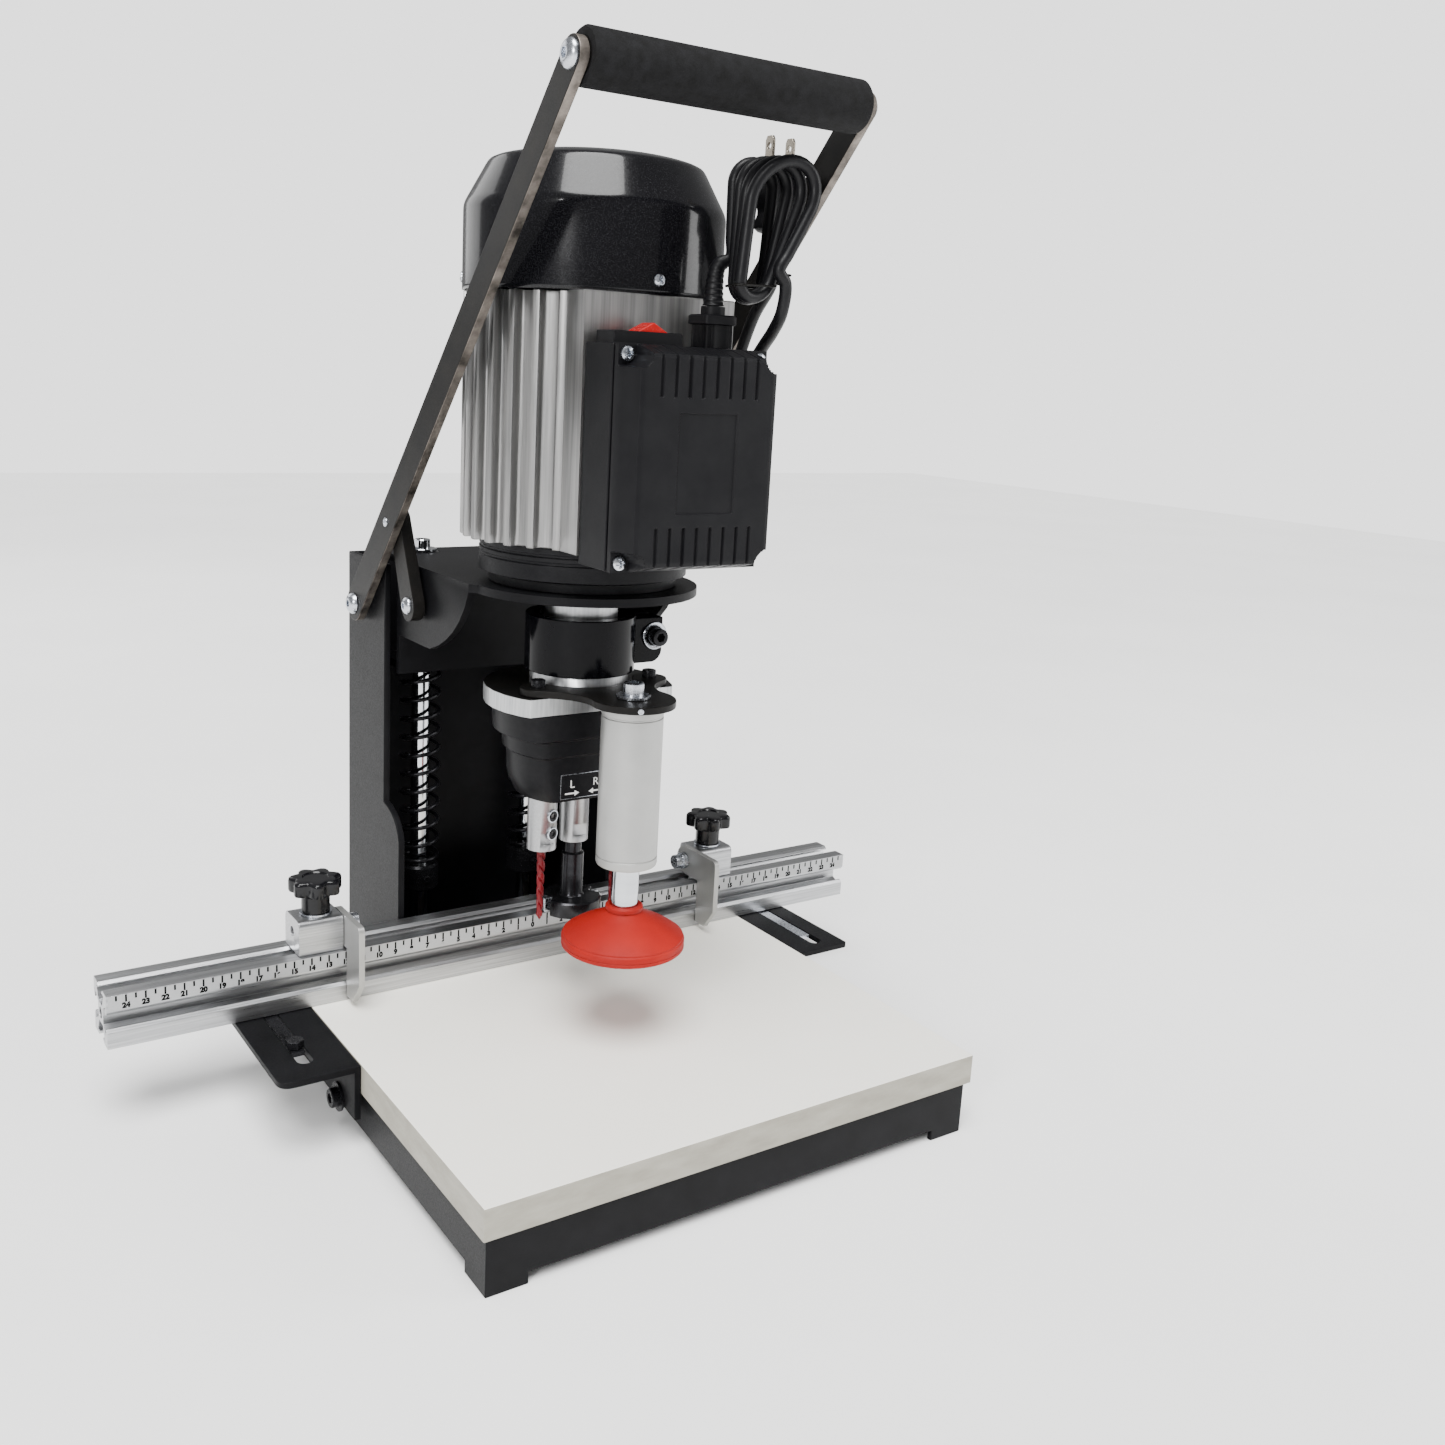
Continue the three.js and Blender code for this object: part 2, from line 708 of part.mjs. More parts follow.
// Carriage: a welded deck with a round nose under the motor, two cheeks, an apron and a lower deck.
function buildCarriage() {
  const deck = new THREE.Shape();
  const apronRear = columnFront;
  deck.moveTo(deckRearHalfWidth, deckRear);
  deck.lineTo(-deckRearHalfWidth, deckRear);
  deck.lineTo(-deckRearHalfWidth, apronRear);
  deck.lineTo(-deckHalfWidth, apronRear);
  deck.lineTo(-deckHalfWidth, cheekFront);
  deck.lineTo(-noseRadius, motorY);
  deck.absarc(0, motorY, noseRadius, Math.PI, Math.PI * 2, false);
  deck.lineTo(deckHalfWidth, cheekFront);
  deck.lineTo(deckHalfWidth, apronRear);
  deck.lineTo(deckRearHalfWidth, apronRear);
  const cheekBottom = deckSurface - cheekDrop;
  const cheek = new THREE.Shape();
  cheek.moveTo(cheekFront, deckUnder);
  cheek.quadraticCurveTo(cheekFlatFront + (cheekFront - cheekFlatFront) * cheekCurveShare,
    deckSurface - cheekDrop * cheekCurveDropShare, cheekFlatFront, cheekBottom);
  cheek.lineTo(apronRear - apronThickness * half, cheekBottom);
  cheek.lineTo(apronRear - apronThickness * half, deckUnder + deckThickness * half);
  cheek.lineTo(cheekFront, deckUnder + deckThickness * half);
  const outer = deckHalfWidth;
  const inner = deckHalfWidth - cheekThickness;
  const apron = block(-outer, outer, apronRear - apronThickness, apronRear - fit, apronBottom, deckUnder
    + deckThickness * half);
  const lower = block(-deckRearHalfWidth, deckRearHalfWidth, apronRear - apronThickness * half, deckRear,
    apronBottom, apronBottom + deckThickness);
  const body = join(raised(deck, deckUnder, deckSurface, round), sideways(cheek, -outer, -inner),
    sideways(cheek, inner, outer), apron, lower);
  const motorHole = bar('z', registerRadius + fit, deckUnder - overrun, deckSurface + overrun,
    0, motorY, fine);
  const bushHoles = [-postX, postX].map((x) => bar('z', bushRadius + fit, apronBottom - overrun,
    deckSurface + overrun, x, postY));
  const pinHoles = bar('x', pivotBolt + fit, -outer - overrun, outer + overrun, linkY, table + linkZ, round);
  add('carriage', cut(body, motorHole, ...bushHoles, pinHoles), 'powderBlack');
}

// Ribbed outline of the motor's housing with the flat pad for the switch box.
function housingOutline() {
  const shape = new THREE.Shape();
  const pitch = (Math.PI * 2) / finCount;
  const padAngle = Math.asin(padHalfWidth / finTipRadius);
  const corners = [];
  for (let i = 0; i < finCount; i += 1) {
    const middle = -Math.PI * half + pitch * (i + half);
    const offset = Math.abs(Math.atan2(Math.sin(middle + Math.PI * half), Math.cos(middle + Math.PI * half)));
    if (offset < padAngle + pitch * half) continue;
    const thick = pitch * finThicknessShare * half;
    corners.push([finRootRadius, middle - thick], [finTipRadius, middle - thick],
      [finTipRadius, middle + thick], [finRootRadius, middle + thick]);
  }
  const padFootAngle = Math.asin(padHalfWidth / finRootRadius);
  shape.moveTo(-padHalfWidth, -padReach);
  shape.lineTo(padHalfWidth, -padReach);
  shape.lineTo(padHalfWidth, -Math.cos(padFootAngle) * finRootRadius);
  corners.forEach(([radius, angle]) => shape.lineTo(Math.cos(angle) * radius, Math.sin(angle) * radius));
  shape.lineTo(-padHalfWidth, -Math.cos(padFootAngle) * finRootRadius);
  shape.holes.push(new THREE.Path(circle(housingBore, fine)));
  return shape;
}

// Motor: end bell with its spigot, ribbed housing, stator, rotor with cooling fan, fan cover.
function buildMotor() {
  const bellBottom = deckSurface + fit;
  const bellTop = bellBottom + bellHeight;
  const bore = shaftRadius + fit;
  const bell = turned([
    [bore, deckSurface - spigotLength], [spigotRadius, deckSurface - spigotLength],
    [spigotRadius, deckUnder], [registerRadius, deckUnder], [registerRadius, bellBottom],
    [bellFootRadius, bellBottom], [bellRadius, bellBottom + bellFootHeight], [bellRadius, bellTop],
    [bellFootRadius, bellTop], [bellFootRadius, bellTop - bellCavityDepth], [bore, bellTop - bellCavityDepth],
  ]);
  add('motor_end_bell', bell, 'blackSteel', 0, motorY);
  add('motor_housing', raised(housingOutline(), housingBottom, housingTop), 'castAluminium', 0, motorY);
  const statorBottom = housingBottom + (housingLength - statorLength) * half;
  const statorTop = statorBottom + statorLength;
  const stator = turned([
    [statorInner, statorBottom], [housingBore - fit, statorBottom], [housingBore - fit, statorTop],
    [statorInner, statorTop],
  ]);
  add('stator', stator, 'copperIron', 0, motorY);
  const coreRadius = statorInner - rotorGap;
  const fanBottom = housingTop + fanLift;
  const fanTop = fanBottom + fanHeight;
  const shaft = turned([
    [0, rotorBottom], [shaftRadius, rotorBottom], [shaftRadius, statorBottom], [coreRadius, statorBottom],
    [coreRadius, statorTop], [shaftRadius, statorTop], [shaftRadius, fanBottom], [fanRadius, fanBottom],
    [fanRadius, fanBottom + fanDisc], [shaftRadius, fanBottom + fanDisc], [shaftRadius, fanTop], [0, fanTop],
  ]);
  const blades = [];
  for (let i = 0; i < fanBladeCount; i += 1) {
    const blade = block(shaftRadius * half, fanRadius - fanBladeThickness, -fanBladeThickness * half,
      fanBladeThickness * half, fanBottom + fanDisc * half, fanTop - fanDisc);
    blades.push(blade.rotateZ((Math.PI * 2 * i) / fanBladeCount));
  }
  add('rotor', join(shaft, ...blades), 'zinc', 0, motorY);
  const coverBottom = housingTop + fit;
  const skirtTop = coverBottom + coverSkirt;
  const shoulderTop = skirtTop + coverShoulder;
  const crownTop = shoulderTop + coverCrown;
  const cover = turned([
    [coverRadius - coverWall, coverBottom], [coverRadius, coverBottom], [coverRadius, skirtTop],
    [coverTopRadius, shoulderTop], [coverTopRadius * half, crownTop], [0, crownTop],
    [0, crownTop - coverWall], [coverTopRadius * half, crownTop - coverWall],
    [coverTopRadius - coverWall, shoulderTop - coverWall], [coverRadius - coverWall, skirtTop],
    [coverRadius - coverWall, coverBottom],
  ].slice(0, -1));
  const vents = [];
  for (let i = 0; i < ventCount; i += 1) {
    const vent = block(ventRadius - ventLength * half, ventRadius + ventLength * half, -ventWidth * half,
      ventWidth * half, shoulderTop - coverWall - overrun, crownTop + overrun);
    vents.push(vent.rotateZ((Math.PI * 2 * i) / ventCount));
  }
  add('fan_cover', cut(cover, ...vents), 'glossBlack', 0, motorY);
}

// Switch box on the motor's pad, with its rocker switch and cord gland.
function buildSwitchBox() {
  const top = boxTop;
  const bottom = table + boxBottom;
  const halfBase = boxBaseWidth * half;
  const baseOuter = block(-halfBase, halfBase, boxJoint, boxRear, bottom, top);
  const baseHollow = block(-halfBase + boxWall, halfBase - boxWall, boxJoint - overrun, boxRear - boxWall,
    bottom + boxWall, top - boxWall);
  const switchY = (boxJoint + boxRear) * half;
  const frame = block(switchX - switchLength * half, switchX + switchLength * half,
    switchY - switchWidth * half, switchY + switchWidth * half, top - boxWall, top + switchFrame);
  const well = block(rockerX - rockerLength * half - fit - fit, rockerX + rockerLength * half + fit + fit,
    switchY - rockerWidth * half - fit, switchY + rockerWidth * half + fit,
    top - boxWall - overrun, top + switchFrame + overrun);
  const cordHole = bar('z', cordRadius + fit, top - boxWall - overrun, top + overrun,
    glandX, switchY, small);
  add('box_base', cut(join(cut(baseOuter, baseHollow), frame), well, cordHole), 'blackPlastic');
  const rim = boxJoint - fit;
  const face = rim - boxCoverDepth;
  const shoulder = rim - boxCoverDepth * boxRimShare;
  const pyramid = (grow, back, front) => {
    const wide = halfBase + grow;
    const high = boxHeight * half + grow;
    const near = taperedBox(wide, high, wide - boxBevel, high - boxBevel, shoulder, front);
    const far = block(-wide, wide, shoulder, back, -high, high);
    return join(near, far);
  };
  const hollow = pyramid(-boxWall, rim + overrun, face + boxWall).translate(0, 0, boxMiddle);
  const shell = pyramid(0, rim, face).translate(0, 0, boxMiddle);
  add('box_cover', cut(shell, hollow), 'blackPlastic');
  const rocker = new THREE.Shape(points([
    [-rockerLength * half, 0], [-rockerLength * rockerWaistShare, -rockerSink],
    [rockerLength * rockerWaistShare, -rockerSink], [rockerLength * half, 0],
    [rockerLength * half - fit, rockerRise * half], [0, rockerRise * half - fit],
    [-rockerLength * half + fit, rockerRise * half],
  ]));
  const tilted = forward(rocker, -rockerWidth * half, rockerWidth * half).rotateY(rockerTilt);
  add('switch_rocker', tilted, 'redPaint', rockerX, switchY, top + switchFrame);
  const glandTop = top + fit + glandHeight;
  const gland = join(
    block(-glandWidth * half, glandWidth * half, -glandDepth * half, glandDepth * half, top + fit,
      glandTop - glandNeck),
    bar('z', glandNeckRadius, glandTop - glandNeck - fit, glandTop, 0, 0, small),
  );
  add('cord_gland', gland, 'blackPlastic', glandX, switchY);
}

// Frustum of a box between two planes of y: wide at the back, narrow in front.
function taperedBox(wide, high, wideFront, highFront, back, front) {
  const geometry = new THREE.BoxGeometry(1, 1, 1);
  const position = geometry.attributes.position;
  for (let i = 0; i < position.count; i += 1) {
    const near = position.getY(i) < 0;
    position.setXYZ(i, Math.sign(position.getX(i)) * (near ? wideFront : wide), near ? front : back,
      Math.sign(position.getZ(i)) * (near ? highFront : high));
  }
  return geometry;
}

// Disc with one straight front edge.
function flatDisc(radius, flat, from, to) {
  const disc = bar('z', radius, from, to, 0, 0, fine);
  return cut(disc, block(-radius - overrun, radius + overrun, -radius - overrun, -flat,
    from - overrun, to + overrun));
}

// Head: clamp ring on the motor's spigot, flange with its sleeve, stepped gear block.
function buildHead() {
  const clampBottom = flangeUnder + clampLift;
  const clampTop = clampBottom + clampHeight;
  const ring = bar('z', clampRadius, clampBottom, clampTop, 0, 0, fine);
  const ear = block(0, earReach, -earDepth * half, earDepth * half,
    (clampBottom + clampTop - earHeight) * half, (clampBottom + clampTop + earHeight) * half);
  const bore = bar('z', clampBore, clampBottom - overrun, clampTop + overrun, 0, 0, fine);
  const slot = block(0, earReach + overrun, -earSlot * half, earSlot * half,
    clampBottom - overrun, clampTop + overrun);
  add('collar_clamp', cut(join(ring, ear), bore, slot), 'glossBlack', 0, motorY);
  const sleeveTop = flangeTop + sleeveHeight + (clampBottom - flangeTop);
  const neckTop = clampBottom - fit;
  const sleeve = turned([
    [headBore, flangeUnder], [neckRadius, flangeUnder], [neckRadius, neckTop], [sleeveRadius, neckTop],
    [sleeveRadius, sleeveTop], [sleeveBore, sleeveTop], [sleeveBore, neckTop], [headBore, neckTop],
  ]);
  const disc = flatDisc(flangeRadius, flangeFlat, flangeUnder, flangeTop);
  const discBore = bar('z', headBore + fit, flangeUnder - overrun, flangeTop + overrun, 0, 0, fine);
  add('head_flange', join(sleeve, cut(disc, discBore)), 'aluminium', 0, motorY);
  let top = blockTop;
  const steps = blockRadii.map((radius, i) => {
    const from = top - blockHeights[i];
    const step = flatDisc(radius, blockFlats[i], from, top);
    top = from;
    return step;
  });
  const axes = spindleAxes();
  const chamberFloor = gearTop - gearHeight - fit;
  const chamber = axes.map(([x, y]) => bar('z', gearRadius + toothRise + fit + fit, chamberFloor,
    blockTop + overrun, x, y));
  const bores = axes.map(([x, y]) => bar('z', spindleRadius + fit, blockBottom - overrun, blockTop, x, y));
  add('head_block', cut(join(...steps), ...chamber, ...bores), 'anodisedBlack', 0, motorY);
}

// Places of the spindles from the motor's axis: middle, left, right.
function spindleAxes() {
  return [[0, 0], [-spindlePitch, -spindleSetback], [spindlePitch, -spindleSetback]];
}

// Gear wheel with a tooth at a stated angle.
function gear(phase, from, to) {
  const pitch = (Math.PI * 2) / gearTeeth;
  const tip = gearRadius + toothRise;
  const root = gearRadius - toothFall;
  const corners = [];
  for (let i = 0; i < gearTeeth; i += 1) {
    const middle = phase + pitch * i;
    const tipHalf = pitch * toothTipShare * half;
    const rootHalf = pitch * toothRootShare * half;
    corners.push([root, middle - rootHalf], [tip, middle - tipHalf], [tip, middle + tipHalf],
      [root, middle + rootHalf]);
  }
  return raised(points(corners.map(([r, a]) => [Math.cos(a) * r, Math.sin(a) * r])), from, to);
}

// Spindles with their gears, in mesh, and the drills in them.
function buildSpindles() {
  const pitch = (Math.PI * 2) / gearTeeth;
  const gearBottom = gearTop - gearHeight;
  const toLeft = Math.atan2(-spindleSetback, -spindlePitch);
  const toRight = Math.atan2(-spindleSetback, spindlePitch);
  const phases = [toLeft, toLeft + Math.PI + pitch * half,
    toRight + Math.PI - (toLeft - toRight) + pitch * half];
  const journals = [flangeTop, blockTop - fit, blockTop - fit];
  const names = ['middle', 'left', 'right'];
  const flat = block(-spindleRadius - overrun, spindleRadius + overrun, -spindleRadius - overrun,
    -spindleRadius + spindleFlatDepth, spindleBottom + spindleFlatLift,
    spindleBottom + spindleFlatLift + spindleFlatHeight);
  const bore = bar('z', bitBore, spindleBottom - overrun, spindleBottom + bitBoreDepth);
  spindleAxes().forEach(([x, y], i) => {
    const shaft = bar('z', spindleRadius, spindleBottom, gearBottom + fit, 0, 0, round);
    const journal = bar('z', journalRadius, gearTop - fit, i ? journals[i] : rotorBottom - fit, 0, 0, small);
    const wheel = gear(phases[i], gearBottom, gearTop);
    add(`spindle_${names[i]}`, cut(join(shaft, wheel, journal), bore, flat), 'zinc', x, motorY + y);
  });
  const shankTop = spindleBottom + bitBoreDepth - fit;
  const dowel = turned([
    [0, spindleBottom - dowelReach], [dowelRadius, spindleBottom - dowelReach + dowelTip],
    [dowelRadius, spindleBottom - fit], [bitShank, spindleBottom - fit], [bitShank, shankTop], [0, shankTop],
  ], small);
  spindleAxes().slice(1).forEach(([x, y], i) => {
    add(`dowel_drill_${names[i + 1]}`, dowel, 'redPaint', x, motorY + y);
  });
  const cupTop = spindleBottom - cupBodyReach;
  const cup = turned([
    [0, cupTop - cupHeight - cupPoint], [cupPointRadius, cupTop - cupHeight], [cupRadius, cupTop - cupHeight],
    [cupRadius, cupTop], [cupBodyRadius, cupTop], [cupBodyRadius, spindleBottom - cupShankReach],
    [bitShank, spindleBottom - cupShankReach], [bitShank, shankTop], [0, shankTop],
  ], round);
  add('cup_drill', cup, 'blackSteel', 0, motorY);
}

// Hold-down: bracket on the flange, cylinder, sprung rod and foot.
function buildHoldDown() {
  const plateBottom = flangeTop + fit;
  const plateTop = plateBottom + holdPlate;
  const lug = bar('z', holdLugRadius, plateBottom, plateTop, 0, holdY, fine);
  const arms = [-holdWingX, holdWingX].map((x) => {
    const wing = strap(x, holdWingY, holdWingRadius, 0, holdY, holdLugRadius);
    return raised(wing, plateBottom, plateTop);
  });
  const relief = bar('z', holdInnerRadius, plateBottom - overrun, plateTop + overrun, 0, 0, fine);
  const screwHole = bar('z', stopScrewRadius + fit, plateBottom - overrun, plateTop + overrun,
    0, holdY, small);
  add('hold_down_bracket', cut(join(lug, ...arms), relief, screwHole), 'powderBlack', 0, motorY);
  const cylinder = turned([
    [stopScrewRadius + fit, holdTop], [stopScrewRadius + fit, holdTop - holdCap],
    [holdBore, holdTop - holdCap],
    [holdBore, holdBottom + holdCap], [holdRodRadius + fit, holdBottom + holdCap],
    [holdRodRadius + fit, holdBottom], [holdRadius, holdBottom], [holdRadius, holdTop],
  ]);
  add('hold_down_cylinder', cylinder, 'anodisedSilver', holdX, holdAxisY);
  const washerBottom = plateTop + fit;
  const headBottom = washerBottom + holdWasherThickness;
  const screw = turned([
    [0, holdTop - holdCap], [stopScrewRadius, holdTop - holdCap], [stopScrewRadius, washerBottom],
    [holdWasherRadius, washerBottom], [holdWasherRadius, headBottom], [holdScrewRadius, headBottom],
    [holdScrewRadius, headBottom + holdScrewHeight], [0, headBottom + holdScrewHeight],
  ], round);
  add('hold_down_screw', screw, 'zinc', holdX, holdAxisY);
  const rodBottom = padBottom + padSocket + fit;
  const pistonBottom = holdBottom + holdPistonLift;
  const pistonTop = pistonBottom + holdPistonHeight;
  const rod = turned([
    [0, rodBottom], [holdRodRadius, rodBottom], [holdRodRadius, pistonBottom], [holdBore - fit, pistonBottom],
    [holdBore - fit, pistonTop], [0, pistonTop],
  ], round);
  add('hold_down_rod', rod, 'chrome', holdX, holdAxisY);
  const domeShares = [[0.85, 0.25], [0.6, 0.48], [0.34, 0.66]]; // of the foot's radius and dome height
  const rimTop = padBottom + padRim;
  const dome = domeShares.map(([out, up]) => [padRadius * out, rimTop + (padTop - rimTop) * up]);
  const foot = turned([
    [0, padBottom], [padRadius - overrun, padBottom], [padRadius, padBottom + padRim * half],
    [padRadius, rimTop], ...dome, [padNeckRadius, padTop], [holdRodRadius + fit, padTop],
    [holdRodRadius + fit, padBottom + padSocket], [0, padBottom + padSocket],
  ]);
  add('hold_down_foot', foot, 'redRubber', holdX, holdAxisY);
}

// Lever: two flat arms with a grip between them, pivoted on the column, and the links to the carriage.
function buildLever() {
  const along = (distance) => [pivotY - Math.cos(leverAngle) * distance,
    pivotHeight + Math.sin(leverAngle) * distance];
  const [gripY, gripZ] = along(gripAlong);
  const [pinY, pinZ] = along(pinAlong);
  const outer = armInner + armThickness;
  const outline = strap(pivotY, pivotHeight, armFootWidth * half, gripY, gripZ, armTopWidth * half);
  const pivotHole = bar('x', pivotBolt + fit, -outer - overrun, -armInner + overrun,
    pivotY, pivotHeight, round);
  const pin = bar('x', linkPinRadius, -outer - pivotHeadHeight * half, -armInner - armThickness * half,
    pinY, pinZ, small);
  const gripBolt = bar('x', pivotHeadRadius, -outer - pivotHeadHeight, -armInner - armThickness * half,
    gripY, gripZ, small);
  const arm = cut(sideways(outline, -outer, -armInner), pivotHole);
  addPair('lever_arm', join(arm, pin, gripBolt), 'powderBlack');
  const barEnd = armInner - fit;
  add('grip_bar', bar('x', gripBarRadius, -barEnd, barEnd, gripY, gripZ), 'blackSteel');
  const sleeveEnd = barEnd - fit;
  const sleeve = turned([
    [gripBarRadius + fit, -sleeveEnd], [gripRadius, -sleeveEnd], [gripRadius, sleeveEnd],
    [gripBarRadius + fit, sleeveEnd],
  ], round).rotateY(Math.PI * half);
  add('grip_sleeve', sleeve, 'foam', 0, gripY, gripZ);

  const bolt = join(
    bar('x', pivotHeadRadius, -outer - fit - pivotHeadHeight, -outer - fit, pivotY, pivotHeight, round),
    bar('x', pivotBolt, -outer - fit - overrun * half, -columnHalfWidth + columnWall + lockNut,
      pivotY, pivotHeight, small),
    bar('x', pivotWasherRadius, -armInner + fit, -columnHalfWidth - fit, pivotY, pivotHeight, round),
    bar('x', pivotHeadRadius, -columnHalfWidth + columnWall + fit,
      -columnHalfWidth + columnWall + fit + lockNut, pivotY, pivotHeight, hexSides),
  );
  addPair('lever_pivot_bolt', bolt, 'zinc');

  const linkOuter = armInner - fit;
  const linkInner = linkOuter - linkThickness;
  const linkHeight = table + linkZ;
  const link = join(
    sideways(strap(linkY, linkHeight, linkWidth * half, pinY, pinZ, linkTopWidth * half),
      -linkOuter, -linkInner),
    bar('x', pivotHeadRadius, -linkOuter - pivotHeadHeight, -linkOuter + fit, linkY, linkHeight, round),
    bar('x', pivotBolt, -linkOuter, -deckHalfWidth + cheekThickness + lockNut, linkY, linkHeight, small),
    bar('x', pivotWasherRadius, -linkInner - fit, -linkInner + linkWasher, linkY, linkHeight, round),
  );
  addPair('link', link, 'powderBlack');
}

// Outline of the fence's profile: a square with one slot in the middle of each side.
function railOutline() {
  const edge = railSize * half;
  const quarter = [
    [edge, railMouth * half], [edge - railMouthDepth, railThroat * half], [edge - railLip, railThroat * half],
    [edge - railLip, railPocketWidth * half], [edge - railPocketDepth, railFloorWidth * half],
  ];
  const mirrored = quarter.map(([a, b]) => [a, -b]).reverse();
  const side = [[edge, -edge], ...quarter.slice().reverse().map(([a, b]) => [a, -b]).reverse(),
    ...mirrored.map(([a, b]) => [a, -b])];
  const corners = [];
  for (let i = 0; i < 4; i += 1) {
    const c = Math.round(Math.cos(Math.PI * half * i));
    const s = Math.round(Math.sin(Math.PI * half * i));
    side.forEach(([a, b]) => corners.push([a * c - b * s, a * s + b * c]));
  }
  const shape = new THREE.Shape(points(corners));
  const bore = new THREE.Path();
  bore.absarc(0, 0, railBore, 0, Math.PI * 2, true);
  shape.holes.push(bore);
  return shape;
}

// One bracket of the fence with its bolt and the clamp that locks the rail, drawn for the left side.
function bracketSet(reach, front, corner) {
  const edge = boardWidth * half + fit; // from the board's middle to the inner face of the flange
  const flangeOuter = edge + bracketThickness;
  const outer = flangeOuter + reach;
  const top = table - fit;
  const slotX = flangeOuter + reach * half;
  const plate = new THREE.Shape();
  plate.moveTo(-edge, front);
  plate.lineTo(-edge, bracketRear);
  plate.lineTo(-outer, bracketRear);
  plate.lineTo(-outer, front + corner);
  plate.quadraticCurveTo(-outer, front, -outer + corner, front);
  const flange = block(-flangeOuter, -edge, front, bracketFlangeRear, table - bracketFlangeDrop, top);
  const slot = strap(bracketSlotFront + bracketSlotWidth * half, 0, bracketSlotWidth * half,
    bracketSlotRear - bracketSlotWidth * half, 0, bracketSlotWidth * half);
  const slotCut = raised(slot, top - bracketThickness - overrun, top + overrun).rotateZ(Math.PI * half)
    .translate(-slotX, 0, 0);
  const boltZ = table - bracketBoltDrop;
  const boltHole = bar('x', stopScrewRadius + fit, -outer, -edge + overrun, bracketBoltY, boltZ, small);
  const bracket = cut(join(raised(plate, top - bracketThickness, top), flange), slotCut, boltHole);
  const trayEdge = trayWidth * half;
  const boltHead = -flangeOuter - fit - linkWasher;
  const bolt = join(
    bar('x', pivotHeadRadius, boltHead - pivotHeadHeight, boltHead, bracketBoltY, boltZ, small),
    bar('x', pivotWasherRadius, boltHead - fit, -flangeOuter - fit, bracketBoltY, boltZ, round),
    bar('x', stopScrewRadius, -flangeOuter - linkWasher, -trayEdge + trayWall + lockNut,
      bracketBoltY, boltZ, small),
    bar('x', pivotWasherRadius, -edge + fit, -trayEdge - fit, bracketBoltY, boltZ, round),
  );
  const barTop = top - fit;
  const studTop = table + fit + railPocketDepth - fit - fit;
  const nutTop = top - bracketThickness - fit;
  const barHalf = clampBarWidth * half;
  const slideHalf = railPocketWidth * half - fit;
  const stemHalf = railThroat * half + fit + fit;
  const clamp = join(
    block(-slotX - barHalf, -slotX + barHalf, clampBarFront, railMiddle + barHalf,
      barTop - clampBarThickness, barTop),
    bar('z', clampStudRadius, barTop - clampBarThickness * half, top + fit + fit, -slotX, clampHexY, small),
    bar('z', clampHexRadius, top + fit, top + fit + clampHexHeight, -slotX, clampHexY, hexSides),
    bar('z', clampStudRadius, nutTop - clampNutHeight, studTop, -slotX, railMiddle, small),
    block(-slotX - slideHalf, -slotX + slideHalf, railMiddle - stemHalf, railMiddle + stemHalf,
      table + fit + railLip + fit, studTop),
    bar('z', clampWasherRadius, nutTop - clampBarThickness, nutTop, -slotX, railMiddle, round),
    bar('z', clampNutRadius, nutTop - clampNutHeight, nutTop - clampBarThickness * half,
      -slotX, railMiddle, hexSides),
  );
  return { bracket, bolt, clamp };
}

// Fence: the rail and what carries and locks it on both sides.
function buildFence() {
  const rail = sideways(railOutline(), -railLength * half, railLength * half);
  add('fence_rail', rail, 'aluminium', 0, railMiddle, table + fit + railMiddle);
  ['left', 'right'].forEach((side, i) => {
    const sign = i ? -1 : 1;
    const set = bracketSet(bracketReaches[i], bracketFronts[i], bracketCorners[i]);
    add(`fence_bracket_${side}`, set.bracket.scale(sign, 1, 1), 'powderBlack', boardOffset);
    add(`bracket_bolt_${side}`, set.bolt.scale(sign, 1, 1), 'zinc', boardOffset);
    add(`fence_clamp_${side}`, set.clamp.scale(sign, 1, 1), 'blackSteel', boardOffset);
  });
}

// Star knob outline with round lobes.
function starOutline() {
  const corners = [];
  const steps = knobLobes * knobLobeSteps;
  for (let i = 0; i < steps; i += 1) {
    const angle = (Math.PI * 2 * i) / steps;
    const radius = knobValley + (knobRadius - knobValley) * (half + half * Math.cos(angle * knobLobes));
    corners.push([Math.cos(angle) * radius, Math.sin(angle) * radius]);
  }
  return points(corners);
}

